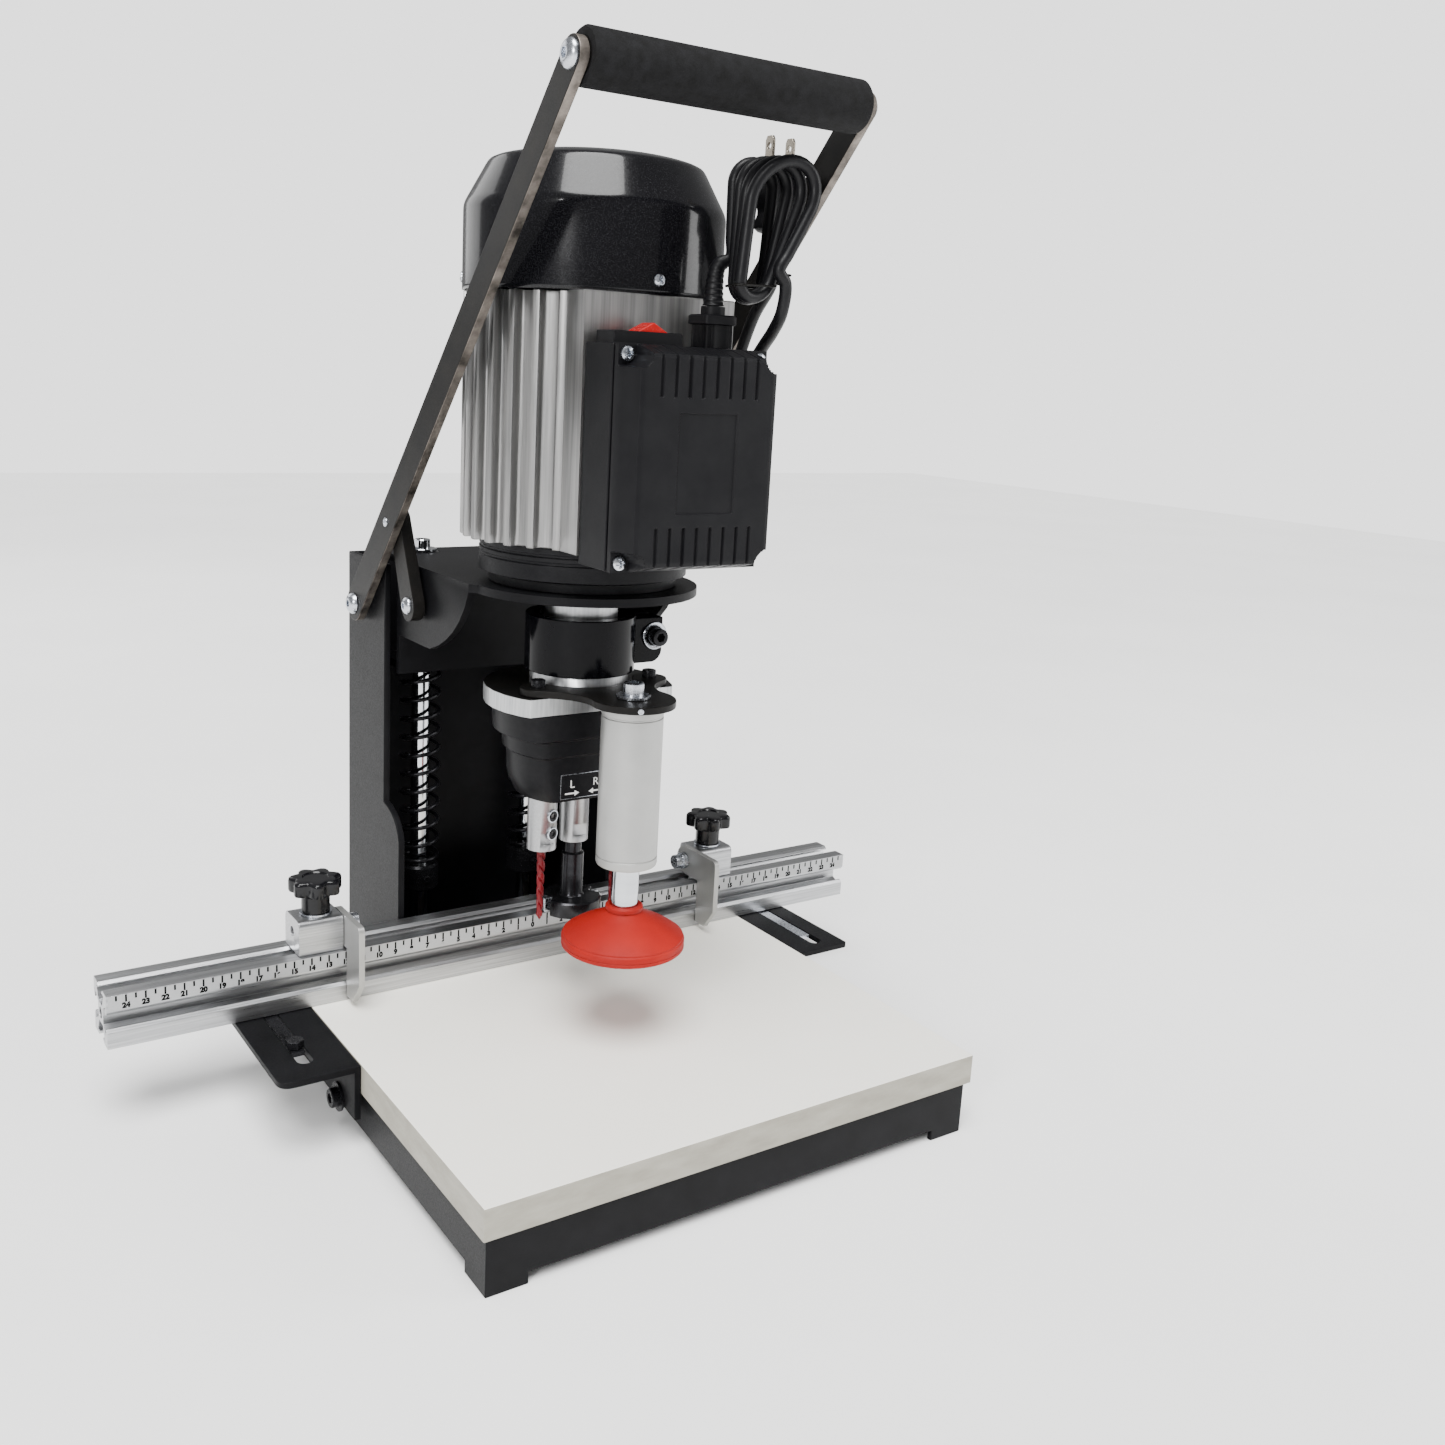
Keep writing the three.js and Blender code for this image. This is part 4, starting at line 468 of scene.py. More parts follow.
# %% The metals and coats
powder = surface("powder_coat", (0.0035, 0.0035, 0.004), (0.006, 0.006, 0.007), (0.36, 0.5),
                 grain=1300, depth=0.08, shine=0.1)
satin = surface("satin_black", (0.004, 0.004, 0.004), (0.009, 0.008, 0.007), (0.34, 0.48),
                grain=1600, depth=0.04, shine=0.12)
bell_paint = surface("bell_paint", (0.004, 0.004, 0.005), (0.009, 0.009, 0.01), (0.36, 0.5),
                     grain=700, depth=0.15, shine=0.14)
cast = surface("raw_aluminium", (0.22, 0.22, 0.22), (0.38, 0.375, 0.37), (0.3, 0.46), metal=0.95,
               mottle=420, grain=1500, depth=0.06, stretch=(1, 1, 0.03))
abs_plastic = surface("moulded_black", (0.004, 0.004, 0.005), (0.007, 0.007, 0.008), (0.38, 0.5),
                      grain=2200, depth=0.04, shine=0.14)
knob_plastic = surface("knob_black", (0.003, 0.003, 0.004), (0.007, 0.007, 0.008), (0.14, 0.22),
                       grain=300, depth=0.02, shine=0.3)
gloss_black = surface("gloss_enamel", (0.002, 0.002, 0.003), (0.004, 0.004, 0.005), (0.1, 0.17),
                      grain=420, depth=0.02, shine=0.1)
red_plastic = surface("rocker_red", (0.4, 0.004, 0.004), (0.5, 0.006, 0.006), (0.2, 0.3),
                      grain=500, depth=0.02, shine=0.3)
rubber_red = surface("foot_red", (0.25, 0.005, 0.003), (0.34, 0.008, 0.004), (0.5, 0.62),
                     mottle=30, grain=900, depth=0.06, shine=0.2)
drill_red = surface("drill_red", (0.09, 0.002, 0.005), (0.17, 0.003, 0.008), (0.25, 0.38),
                    grain=900, depth=0.03, shine=0.3)
cord_rubber = surface("cord_rubber", (0.003, 0.003, 0.004), (0.006, 0.006, 0.007), (0.34, 0.48),
                      grain=1500, depth=0.03, shine=0.22)
foam = surface("grip_foam", (0.005, 0.005, 0.005), (0.01, 0.01, 0.011), (0.75, 0.95),
               mottle=200, grain=2600, depth=0.25, shine=0.15)
zinc = surface("zinc_plate", (0.46, 0.49, 0.54), (0.62, 0.64, 0.68), (0.2, 0.34), metal=1.0,
               grain=900, depth=0.02)
dark_steel = surface("black_oxide", (0.008, 0.008, 0.009), (0.02, 0.02, 0.023), (0.22, 0.36), metal=0.6,
                     grain=900, depth=0.03, shine=0.3)
chrome = surface("chrome", (0.56, 0.58, 0.61), (0.68, 0.7, 0.72), (0.05, 0.11), metal=1.0,
                 mottle=20, grain=900, depth=0.005, stretch=(1, 1, 6))
worn_steel = surface("worn_edge", (0.02, 0.017, 0.014), (0.24, 0.21, 0.185), (0.35, 0.6), metal=0.7,
                     mottle=90, grain=1200, depth=0.08)
tool_steel = surface("tool_black", (0.008, 0.008, 0.01), (0.03, 0.03, 0.033), (0.16, 0.28), metal=0.7,
                     mottle=150, grain=1400, depth=0.03, shine=0.4)
nickel = surface("plug_nickel", (0.3, 0.26, 0.21), (0.46, 0.42, 0.36), (0.22, 0.36), metal=1.0,
                 grain=900, depth=0.02)
marking = surface("white_marking", (0.75, 0.75, 0.74), (0.85, 0.85, 0.84), (0.45, 0.55),
                  grain=900, depth=0.01)
ink = surface("scale_ink", (0.002, 0.002, 0.002), (0.004, 0.004, 0.004), (0.5, 0.6),
              grain=900, depth=0.005, shine=0.1)

# %% Brushed, turned and anodised metals
extruded = surface("extruded_aluminium", (0.36, 0.365, 0.375), (0.56, 0.565, 0.575), (0.26, 0.4), metal=1.0,
                   mottle=900, grain=2600, depth=0.02, stretch=(0.015, 1, 1))
machined = surface("machined_aluminium", (0.42, 0.43, 0.44), (0.6, 0.605, 0.61), (0.28, 0.42), metal=1.0,
                   mottle=700, grain=2200, depth=0.02, stretch=(1, 1, 0.06))
spindle_steel = surface("spindle_steel", (0.36, 0.362, 0.368), (0.44, 0.443, 0.45), (0.3, 0.4), metal=1.0,
                        mottle=900, grain=1800, depth=0.01)
anodised_silver = surface("anodised_silver", (0.4, 0.4, 0.39), (0.44, 0.44, 0.43), (0.4, 0.48), metal=0.8,
                          mottle=60, grain=2400, depth=0.008)
anodised_black = surface("anodised_black", (0.004, 0.004, 0.005), (0.007, 0.007, 0.008), (0.34, 0.44),
                         metal=0.1, mottle=300, grain=1900, depth=0.02, shine=0.14)
scale_strip = surface("scale_strip", (0.4, 0.405, 0.41), (0.46, 0.465, 0.47), (0.42, 0.5), metal=0.3,
                      mottle=1500, grain=2400, depth=0.01)

# %% [markdown]
# One finish needs something of its own: the fan cover's black paint holds fine metal flakes, which are
# the brightest few cells of a fine cell pattern. The board is cream melamine with a beige band on its
# edges.

# %% Flake paint and board
def flake_paint():
    """Black gloss with flakes: cells of 0.3 mm, of which those with the highest random tone are lighter."""
    finish = Finish("flake_black", metal=0.0, Specular_IOR_Level=0.15, Coat_Weight=0.28, Coat_Roughness=0.06)
    cells = finish.add("ShaderNodeTexVoronoi")
    cells.inputs["Scale"].default_value = 3200
    finish.join(finish.place(), cells.inputs["Vector"])
    tone = finish.add("ShaderNodeSeparateColor")
    finish.join(cells.outputs["Color"], tone.inputs["Color"])
    tones = [(0.0, (0.003, 0.003, 0.004)), (0.8, (0.005, 0.005, 0.006)), (0.98, (0.016, 0.016, 0.018))]
    finish.ramp(tone.outputs["Red"], tones, finish.shader.inputs["Base Color"])
    fine = finish.noise(600, detail=3.0)
    finish.ramp(fine, [(0.3, 0.16), (0.7, 0.24)], finish.shader.inputs["Roughness"])
    finish.relief(fine, 0.01, 0.4)
    return finish.material


flake_black = flake_paint()
melamine = surface("melamine", (0.84, 0.82, 0.75), (0.87, 0.85, 0.785), (0.38, 0.48), mottle=12, grain=1500,
                   depth=0.015, shine=0.3)
edge_band = surface("edge_band", (0.27, 0.255, 0.21), (0.36, 0.34, 0.285), (0.45, 0.6),
                    mottle=160, grain=1100, depth=0.05, stretch=(0.3, 0.3, 1))
print("finishes:", len(bpy.data.materials))

# %% [markdown]
# ## The cord
# A mains lead leaves the gland on top of the switch box, is wound into a hank of upright loops that a
# tie holds at the foot, and ends in a plug. All of it shows. A Blender curve would do for a lead that
# just hangs, but the hank has a rule of its own: each loop runs like a belt round a wide wheel at the
# top and a narrow one at the foot. So the route is worked out, and a circle is carried along it.

# %% Cord route
CORD_RADIUS = 3.1
HANK_LOOPS = 3.51
HANK_SHARES = (18, 6, 16, 8)
HANK_START = 0.93
HANK_FOOT = np.array((37.5, -81.3, 446.0))
HANK_HEIGHT = 64
HANK_PITCH = 7.4
HANK_DRIFT = 4.1
HANK_FOOT_RADIUS = 9
HANK_TOP_RADII = (10, 18)
HANK_LEANS = (-1, 22)
LEAD_POINTS = [(22.6, -78.6, 461)]
TAIL_POINTS = [
    (42.6, -107, 453), (43.8, -104, 440), (46, -95, 431), (49, -84, 424), (51.5, -73, 416), (54, -63, 409),
    (57.5, -52.5, 405), (62, -44, 408.5), (65.3, -41.5, 418), (66.3, -45, 429), (65.6, -53, 441),
]


def hank_points():
    """Belt round two wheels, in four stretches: over the top wheel, down, under the foot wheel, up.
    The turns push each loop forward and to the left, and its height leans it to the right."""
    steps = sum(HANK_SHARES)
    turns = np.arange(round(steps * HANK_LOOPS) + 1) / steps
    share = turns / HANK_LOOPS
    top = HANK_TOP_RADII[0] + (HANK_TOP_RADII[1] - HANK_TOP_RADII[0]) * share
    lean = HANK_LEANS[0] + (HANK_LEANS[1] - HANK_LEANS[0]) * share
    foot = HANK_FOOT_RADIUS
    slope = np.arcsin((top - foot) / (HANK_HEIGHT - top - foot))
    place = (turns + HANK_START) % 1 * steps
    edges = np.cumsum((0, *HANK_SHARES))
    stretch = np.searchsorted(edges, place, side="right") - 1
    part = (place - edges[stretch]) / np.array(HANK_SHARES)[stretch]
    over = np.pi + slope - part * (np.pi + 2 * slope)
    under = -slope - part * (np.pi - 2 * slope)
    ax, az = top * np.cos(slope), HANK_HEIGHT - top - top * np.sin(slope)
    bx, bz = foot * np.cos(slope), foot - foot * np.sin(slope)
    across = [top * np.cos(over), ax + (bx - ax) * part, foot * np.cos(under), (bx - ax) * part - bx]
    rise = [HANK_HEIGHT - top + top * np.sin(over), az + (bz - az) * part, foot + foot * np.sin(under),
            bz + (az - bz) * part]
    across, rise = np.choose(stretch, across), np.choose(stretch, rise)
    x = HANK_FOOT[0] - HANK_DRIFT * turns + lean * rise / HANK_HEIGHT + across
    return np.stack([x, HANK_FOOT[1] - HANK_PITCH * turns, HANK_FOOT[2] + rise], axis=1)


def cord_path(loops):
    """Straight out of the gland, through the lead's point, the loops, the tail's points, into the plug."""
    exit_point = np.array((*middle("cord_gland")[:2], box("cord_gland")[1][2] + SEAT_GAP))
    plug_entry = np.array((*middle("plug")[:2], box("plug")[0][2] - SEAT_GAP))
    step = 3 * CORD_RADIUS
    first, last = loops[0] - loops[1], loops[-1] - loops[-2]
    first, last = first / np.linalg.norm(first), last / np.linalg.norm(last)
    start, end = loops[0] + first * 2 * CORD_RADIUS, loops[-1] + last * 2 * CORD_RADIUS
    lead = [exit_point, exit_point + (0, 0, step), *LEAD_POINTS, start + first * step, start]
    tail = [end, end + last * step, *TAIL_POINTS, plug_entry - (0, 0, step), plug_entry]
    return np.vstack([smooth_path(lead, 10), loops, smooth_path(tail, 8)])


hank = hank_points()
cord_points = cord_path(hank)
cord_travel = np.concatenate([[0], np.cumsum(np.linalg.norm(np.diff(cord_points, axis=0), axis=1))])
cord = make_piece("mains_cord", *tube(cord_points, CORD_RADIUS, 20), cord_rubber, "carriage",
                  ("cord_lead", "cord_hank", "cord_tail"))
print("cord length, mm:", round(float(cord_travel[-1]), 1))

# %% [markdown]
# The cord gets three small pieces: a ribbed sleeve where it leaves the gland, so that it can't kink
# there, the wire tie, and the plug. The tie lies on the strands that it holds. In each direction round
# the hank, the strand that stands out most is found, and the wire passes just outside it.

# %% Strain relief, tie and plug
RELIEF_LENGTH, RELIEF_RADIUS, RELIEF_TAPER = 23, 5.2, 1.7
RIB_PITCH, RIB_DEPTH = 3, 0.2
TIE_HEIGHT, TIE_RADIUS, TIE_GAP = 452, 0.6, 0.2
TIE_SLOPE = 0.03
TWIST_WAY, TWIST_PITCH, TWIST_TURNS = np.array((0.75, -0.45, 0.5)), 0.8, 2.5
PLUG_TAIL, PLUG_RIBS = 14, 5
BLADE_HALF_WIDTH, BLADE_LENGTH, BLADE_BEVEL = 3.2, 17.5, 1.2
BLADE_OFF_MIDDLE, BLADE_HALF_THICKNESS = 6.35, 0.8
BLADE_HOLE_RADIUS, BLADE_HOLE_DROP = 1.5, 5


def along_cord(distance):
    """Points on the cord at given distances from the gland."""
    return np.stack([np.interp(distance, cord_travel, cord_points[:, k]) for k in range(3)], axis=1)


def relief_shape():
    """Sleeve: its radius falls evenly by the taper, and a clipped cosine of the ribs' pitch is added,
    which fades towards the end."""
    distance = np.linspace(0.2, RELIEF_LENGTH, 110)
    share = distance / RELIEF_LENGTH
    ribs = RIB_DEPTH * np.clip(np.cos(distance * 2 * np.pi / RIB_PITCH) * 2, -1, 1) * (1 - share**4)
    radius = RELIEF_RADIUS - RELIEF_TAPER * share + ribs * (1 - 0.5 * share)
    return tube(along_cord(distance), radius, 32)


def tie_shape():
    """Loop: point(angle) = the strand that reaches furthest in that direction + (its radius + wire) x
    direction. Its ends are two helices of 1 mm radius twisted round each other."""
    low, high = hank[:-1], hank[1:]
    crossing = (low[:, 2] - TIE_HEIGHT) * (high[:, 2] - TIE_HEIGHT) < 0
    low, high = low[crossing], high[crossing]
    share = ((TIE_HEIGHT - low[:, 2]) / (high[:, 2] - low[:, 2]))[:, None]
    strands = (low + (high - low) * share)[:, :2]
    angle = np.linspace(0, 2 * np.pi, 145)
    outward = np.stack([np.cos(angle), np.sin(angle)], axis=1)
    furthest = strands[np.argmax(strands @ outward.T, axis=0)]
    wire = furthest + outward * (CORD_RADIUS + TIE_RADIUS + TIE_GAP)
    loop = np.column_stack([wire, np.full(len(wire), TIE_HEIGHT) + TIE_SLOPE * (wire[:, 0] - wire[0, 0])])
    turn = np.linspace(0, TWIST_TURNS * 2 * np.pi, 80)
    twists = []
    for start in (0, np.pi):
        around = np.stack([0 * turn, np.cos(turn + start), np.sin(turn + start)], axis=1)
        twists.append(tube(loop[0] + TWIST_WAY * turn[:, None] * TWIST_PITCH + around, TIE_RADIUS, 10))
    return joined(tube(loop, TIE_RADIUS, 10), *twists)


def plug_shape():
    """Sections of a superellipse up the plug, as (height, half width, half depth, power): a ribbed round
    tail of power 1, then a squarer body of power 0.5 with a waist to grip."""
    low = box("plug")[0][2]
    tail = [(low + PLUG_TAIL * t, 4.3 + 1.3 * t + 0.45 * math.cos(t * PLUG_RIBS * 2 * math.pi))
            for t in np.linspace(0, 1, 56)]
    body = ((0.6, 8.6, 6.8, 0.62), (2.2, 10.4, 7.6, 0.5), (6, 10.2, 7.5, 0.5), (9, 9.2, 6.8, 0.5),
            (11, 9.2, 6.8, 0.5), (13, 9.8, 7.2, 0.5), (16, 10.8, 7.9, 0.5), (20, 11, 8, 0.5),
            (28.6, 11, 8, 0.5), (29.7, 10.6, 7.6, 0.5), (30, 9.8, 6.8, 0.5), (30, 0, 0, 0.5))
    rows = [(low, 0, 0, 1.0), *((z, radius, radius, 1.0) for z, radius in tail)]
    rows += [(low + PLUG_TAIL + rise, a, b, power) for rise, a, b, power in body]
    z, a, b, power = columns(rows)
    return lofted(squared_rings(middle("plug"), a, b, power, round_angles(64), z), close_rows=False)


def holed(outline, hole, radius, low, high, axis):
    """Plate with a round hole: the outline and a circle of as many points, at both faces, joined round."""
    outline = np.asarray(outline, float)
    angle = np.arctan2(outline[:, 1] - hole[1], outline[:, 0] - hole[0])
    circle = np.asarray(hole) + radius * np.stack([np.cos(angle), np.sin(angle)], axis=1)
    rings = []
    for points, level in ((circle, low), (outline, low), (outline, high), (circle, high)):
        a, b = points.T
        rings.append(np.stack({"x": (a * 0 + level, a, b), "y": (a, a * 0 + level, b),
                               "z": (a, b, a * 0 + level)}[axis], axis=1))
    return lofted(rings)


def sampled(corners, count=64):
    """Outline with count points more or less evenly spread, its corners kept."""
    corners = np.asarray(corners, float)
    after = np.roll(corners, -1, axis=0)
    length = np.linalg.norm(after - corners, axis=1)
    steps = np.maximum(1, np.round(count * length / length.sum()).astype(int))
    return np.concatenate([a + (b - a) * np.linspace(0, 1, n, endpoint=False)[:, None]
                           for a, b, n in zip(corners, after, steps)])


def blade_shapes():
    """Two flat blades with a bevelled top and a hole near it."""
    centre, top = middle("plug"), box("plug")[1][2]
    front, back = centre[1] - BLADE_HALF_WIDTH, centre[1] + BLADE_HALF_WIDTH
    outline = sampled([(front, top - BLADE_LENGTH), (back, top - BLADE_LENGTH), (back, top - 2),
                       (back - BLADE_BEVEL, top), (front + BLADE_BEVEL, top), (front, top - 2)])
    hole = (centre[1], top - BLADE_HOLE_DROP)
    blades = []
    for off in (-BLADE_OFF_MIDDLE, BLADE_OFF_MIDDLE):
        left, right = centre[0] + off - BLADE_HALF_THICKNESS, centre[0] + off + BLADE_HALF_THICKNESS
        blades.append(holed(outline, hole, BLADE_HOLE_RADIUS, left, right, "x"))
    return joined(*blades)


relief = make_piece("strain_relief", *relief_shape(), cord_rubber, "carriage")
tie = make_piece("hank_tie", *tie_shape(), satin, "carriage")
plug = stand_in("mains_plug", "plug", plug_shape(), cord_rubber)
blades = make_piece("plug_blades", *blade_shapes(), nickel, "carriage", bevel=0.25)
print("plug top, mm:", round(box("plug")[1][2], 1))

# %% [markdown]
# ## Castings, plates and profiles
# Some parts are right as they come from the CAD, but as loose triangles with knife edges. A copy of
# such a mesh is merged, its flat triangles are joined into whole faces, and a small bevel softens its
# edges, since no real edge is perfectly sharp. A part that needs another finish on some faces picks
# them by where they are or which way they look.

# %% Dressed copies
COPY_WELD = 0.01
FLAT_WITHIN = math.radians(0.6)


def dressed_copy(node, finish, bevel=0.3, zones=None, name=None):
    """Merged copy of a node with joined flats and softened edges. zones(middles, normals) in millimetres
    gives each face the number of its finish."""
    mesh = frame["nodes"][node].data.copy()
    mesh.name = name or "new_" + node
    mesh.materials.clear()
    work = bmesh.new()
    work.from_mesh(mesh)
    bmesh.ops.remove_doubles(work, verts=work.verts, dist=COPY_WELD * MM)
    bmesh.ops.dissolve_limit(work, angle_limit=FLAT_WITHIN, verts=work.verts, edges=work.edges)
    work.to_mesh(mesh)
    work.free()
    mesh.polygons.foreach_set("material_index", np.zeros(len(mesh.polygons), np.int32))
    if zones is not None:
        middles = np.empty(len(mesh.polygons) * 3)
        normals = np.empty_like(middles)
        mesh.polygons.foreach_get("center", middles)
        mesh.polygons.foreach_get("normal", normals)
        numbers = zones(middles.reshape(-1, 3) / MM, normals.reshape(-1, 3))
        mesh.polygons.foreach_set("material_index", np.asarray(numbers, np.int32))
    shade(mesh)
    return dress(put_in_scene(mesh.name, mesh), finish, BODY_OF[node], (node,), bevel)


for node, finish, bevel in (
    ("base_tray", powder, 0.6), ("column", powder, 0.7), ("carriage", powder, 0.5),
    ("box_base", abs_plastic, 0.6), ("guide_bush_left", dark_steel, 0.3),
    ("guide_bush_right", dark_steel, 0.3), ("fence_rail", extruded, 0.25),
    ("fence_bracket_left", powder, 0.4), ("fence_bracket_right", powder, 0.4),
    ("fence_clamp_left", dark_steel, 0.2), ("spindle_left", spindle_steel, 0.3),
    ("spindle_middle", spindle_steel, 0.3), ("spindle_right", spindle_steel, 0.3),
    ("stop_plate_left", anodised_silver, 0.35), ("stop_plate_right", anodised_silver, 0.35),
):
    dressed_copy(node, finish, bevel)

# %% Flange and stop blocks
FLANGE_THICKNESS = 10
flange_top = box("head_block")[1][2] + FLANGE_THICKNESS
dressed_copy("head_flange", [machined, satin], 0.35,
             lambda middles, normals: (normals[:, 2] > 0.9) & (middles[:, 2] < flange_top + 1))
for side, sign in zip(SIDES, (1, -1)):
    # Past the end of the block that carries the plate, the screw and its collar are zinc plated.
    face_x = box("stop_plate_" + side)[0 if sign > 0 else 1][0] - sign * 0.4
    dressed_copy("stop_block_" + side, [extruded, zinc], 0.35,
                 lambda middles, normals: (middles[:, 0] - face_x) * sign > 0.1)

# %% Right clamp
# The right clamp's bolt sits under the rail, so only its bar shows in the slot.
CLAMP_BAR_HALF, CLAMP_PLATE = 3.7, 2.6
CLAMP_WASHER, CLAMP_NUT, CLAMP_STUD = 9, 6.5, 3
CLAMP_NUT_HEIGHT = 5
low, high = box("fence_clamp_right")
stud_at = ((low[0] + high[0]) / 2, high[1] - CLAMP_WASHER, 0)
bar_top, nut_top = box("fence_bracket_right")[1][2] - SEAT_GAP, low[2] + CLAMP_NUT_HEIGHT
right_clamp = joined(
    block((stud_at[0] - CLAMP_BAR_HALF, low[1], bar_top - CLAMP_PLATE),
          (stud_at[0] + CLAMP_BAR_HALF, stud_at[1] + CLAMP_BAR_HALF, bar_top)),
    turned(bar(CLAMP_WASHER, nut_top - CLAMP_PLATE, nut_top), stud_at, sides=48),
    turned(bar(CLAMP_NUT, low[2], nut_top - CLAMP_PLATE / 2), stud_at, sides=6),
    turned(bar(CLAMP_STUD, nut_top - 4, high[2]), stud_at, sides=24))
stand_in("clamp_bar_right", "fence_clamp_right", right_clamp, zinc, 0.3)

# %% [markdown]
# ## Table
# The board is faced on both sides and banded on its edges. Two materials on one mesh do it, because
# the board's faces already know whether they look up or sideways.

# %% Table board
table = dressed_copy("table_board", [melamine, edge_band], 0.5,
                     lambda middles, normals: np.abs(normals[:, 2]) < 0.5, "table_top")
print("table:", table.name)

# %% [markdown]
# ## Screws
# Small screws repeat all over the machine, so one shape is made per kind and set down many times. A hex
# socket is a hexagon let into a turned head. A cross slot is a height taken off a domed head wherever a
# point lies inside one of the two arms.

# %% Screw heads
RIM_SHARE = 0.12
CAP_SOCKET_SHARES, BUTTON_SOCKET_SHARES = (0.55, 0.6), (0.38, 0.55)
BUTTON_TURN = 1.1
SLOT_WIDTH_SHARE, SLOT_LENGTH_SHARE, SLOT_DEPTH_SHARE = 0.2, 0.68, 0.6


def cap_head(radius, height):
    """Straight head with a rounded rim and a hex socket."""
    rim = RIM_SHARE * radius
    width, depth = CAP_SOCKET_SHARES
    return turned([(0, 0), (radius, 0), (radius, height - rim), (radius - rim * 0.3, height - rim * 0.3),
                   (radius - rim, height)], sides=40, socket=(radius * width, height * depth))


def button_head(radius, height):
    """Quarter ellipse from the rim to the flat round the socket."""
    t = np.linspace(0, BUTTON_TURN, 8)
    rise = height * (0.1 + 0.9 * np.sin(t) / np.sin(BUTTON_TURN))
    dome = np.stack([radius * np.cos(t) * 0.98 + 0.02 * radius, rise], 1)
    width, depth = BUTTON_SOCKET_SHARES
    return turned([(0, 0), (radius, 0), *dome], sides=48, socket=(radius * width, height * depth))


def cross_head(radius, height):
    """Domed head: z = height (1 - (r / R)^2 / 2), less a cross: a slot where one of |x| and |y| is under
    its width and the other under its length, with sides that slope a little."""
    rings = np.concatenate([np.linspace(0, 0.93, 20), [0.98, 1.0, 1.0, 0.0]])[:, None] * radius
    angle = round_angles(48)
    x, y = rings * np.cos(angle), rings * np.sin(angle)
    z = height * (1 - 0.5 * (rings / radius) ** 2) + 0 * angle
    narrow, wide = np.minimum(np.abs(x), np.abs(y)), np.maximum(np.abs(x), np.abs(y))
    slot = np.clip((radius * SLOT_WIDTH_SHARE - narrow) / (radius * 0.07), 0, 1)
    slot = slot * np.clip((radius * SLOT_LENGTH_SHARE - wide) / (radius * 0.12), 0, 1)
    z = z - SLOT_DEPTH_SHARE * height * slot
    z[-3], z[-2], z[-1] = 0.35 * height, 0, 0
    return lofted(np.stack([x, y, z], axis=-1), close_rows=False)


def aimed(shape, place, toward):
    """A shape made along +z, turned so that +z points toward, and moved to its place."""
    points, faces = shape
    w = np.asarray(toward, float) / np.linalg.norm(toward)
    u = np.cross((0.31, 0.95, 0.05), w)
    u /= np.linalg.norm(u)
    return points @ np.stack([u, np.cross(w, u), w]) + np.asarray(place, float), faces


def screws(name, shape, places, toward, finish, body):
    """One piece made of the same head at several places."""
    heads = [aimed(shape, place, toward) for place in places]
    piece = make_piece(name, *joined(*heads), finish, body)
    return piece


# %% [markdown]
# ## Posts, collars and springs
# The carriage slides on two chromed posts. A post is a turned bar with a washer and a cap screw on top.
# A spring is a helix: the angle grows evenly, and the height grows slowly in the end turns, because a
# compression spring's last turns lie flat.

# %% Posts and collars
POST_RADIUS, POST_CHAMFER = 6, 0.8
POST_WASHER, POST_WASHER_THICKNESS = 9, 1.6
POST_SCREW, POST_HEAD = 5, 7.1
COLLAR_RADIUS, COLLAR_CHAMFER = 12.5, 1.5


def post_shape(node):
    """Bar, washer, screw head with a hex socket, from the foot up."""
    low, high = levels(node)
    top = high - POST_HEAD
    washer_top = top + POST_WASHER_THICKNESS
    profile = [(0, low), (POST_RADIUS - POST_CHAMFER, low), (POST_RADIUS, low + POST_CHAMFER),
               (POST_RADIUS, top), (POST_WASHER - 0.3, top), (POST_WASHER, top + 0.3),
               (POST_WASHER, top + 1.3), (POST_WASHER - 0.3, washer_top), (POST_SCREW, washer_top),
               (POST_SCREW, high - 0.6), (POST_SCREW - 0.6, high)]
    return turned(profile, (*middle(node)[:2], 0), sides=64, socket=(2.6, 3))


def collar_shape(node):
    """Ring with chamfered rims round the post."""
    low, high = levels(node)
    bore, rim = POST_RADIUS + SEAT_GAP, COLLAR_RADIUS - COLLAR_CHAMFER
    profile = [(bore, low), (rim, low), (COLLAR_RADIUS, low + COLLAR_CHAMFER),
               (COLLAR_RADIUS, high - COLLAR_CHAMFER), (rim, high), (bore, high)]
    return turned(profile, (*middle(node)[:2], 0), sides=72)


for side in SIDES:
    post, collar = "guide_post_" + side, "post_collar_" + side
    stand_in(f"post_{side}", post, post_shape(post), chrome)
    stand_in(f"collar_{side}", collar, collar_shape(collar), dark_steel)
    x, y, z = middle(collar)
    screws(f"collar_screw_{side}", cap_head(2.4, 1.2), [(x, y - COLLAR_RADIUS + 0.1, z)], (0, -1, 0),
           dark_steel, "frame")

# %% Springs
SPRING_RADIUS = 11.5
SPRING_WIRE = 1.3
SPRING_TURNS = 12
SPRING_STEPS = 40


def spring_shape(node):
    """Helix: x, y on a circle, and a height that rises evenly but for the first and last turn, which
    rise by little more than the wire."""
    low, high = box(node)
    centre = middle(node.replace("spring", "post_collar"))
    turns = np.linspace(0, SPRING_TURNS, SPRING_TURNS * SPRING_STEPS + 1)
    bottom, top = low[2] + SPRING_WIRE, high[2] - SPRING_WIRE
    rise = 2 * SPRING_WIRE + 0.2
    height = np.interp(turns, [0, 0.9, SPRING_TURNS - 0.9, SPRING_TURNS],
                       [bottom, bottom + rise, top - rise, top])
    angle = 2 * np.pi * turns
    x, y = centre[0] + SPRING_RADIUS * np.cos(angle), centre[1] + SPRING_RADIUS * np.sin(angle)
    return tube(np.stack([x, y, height], 1), SPRING_WIRE, 14)


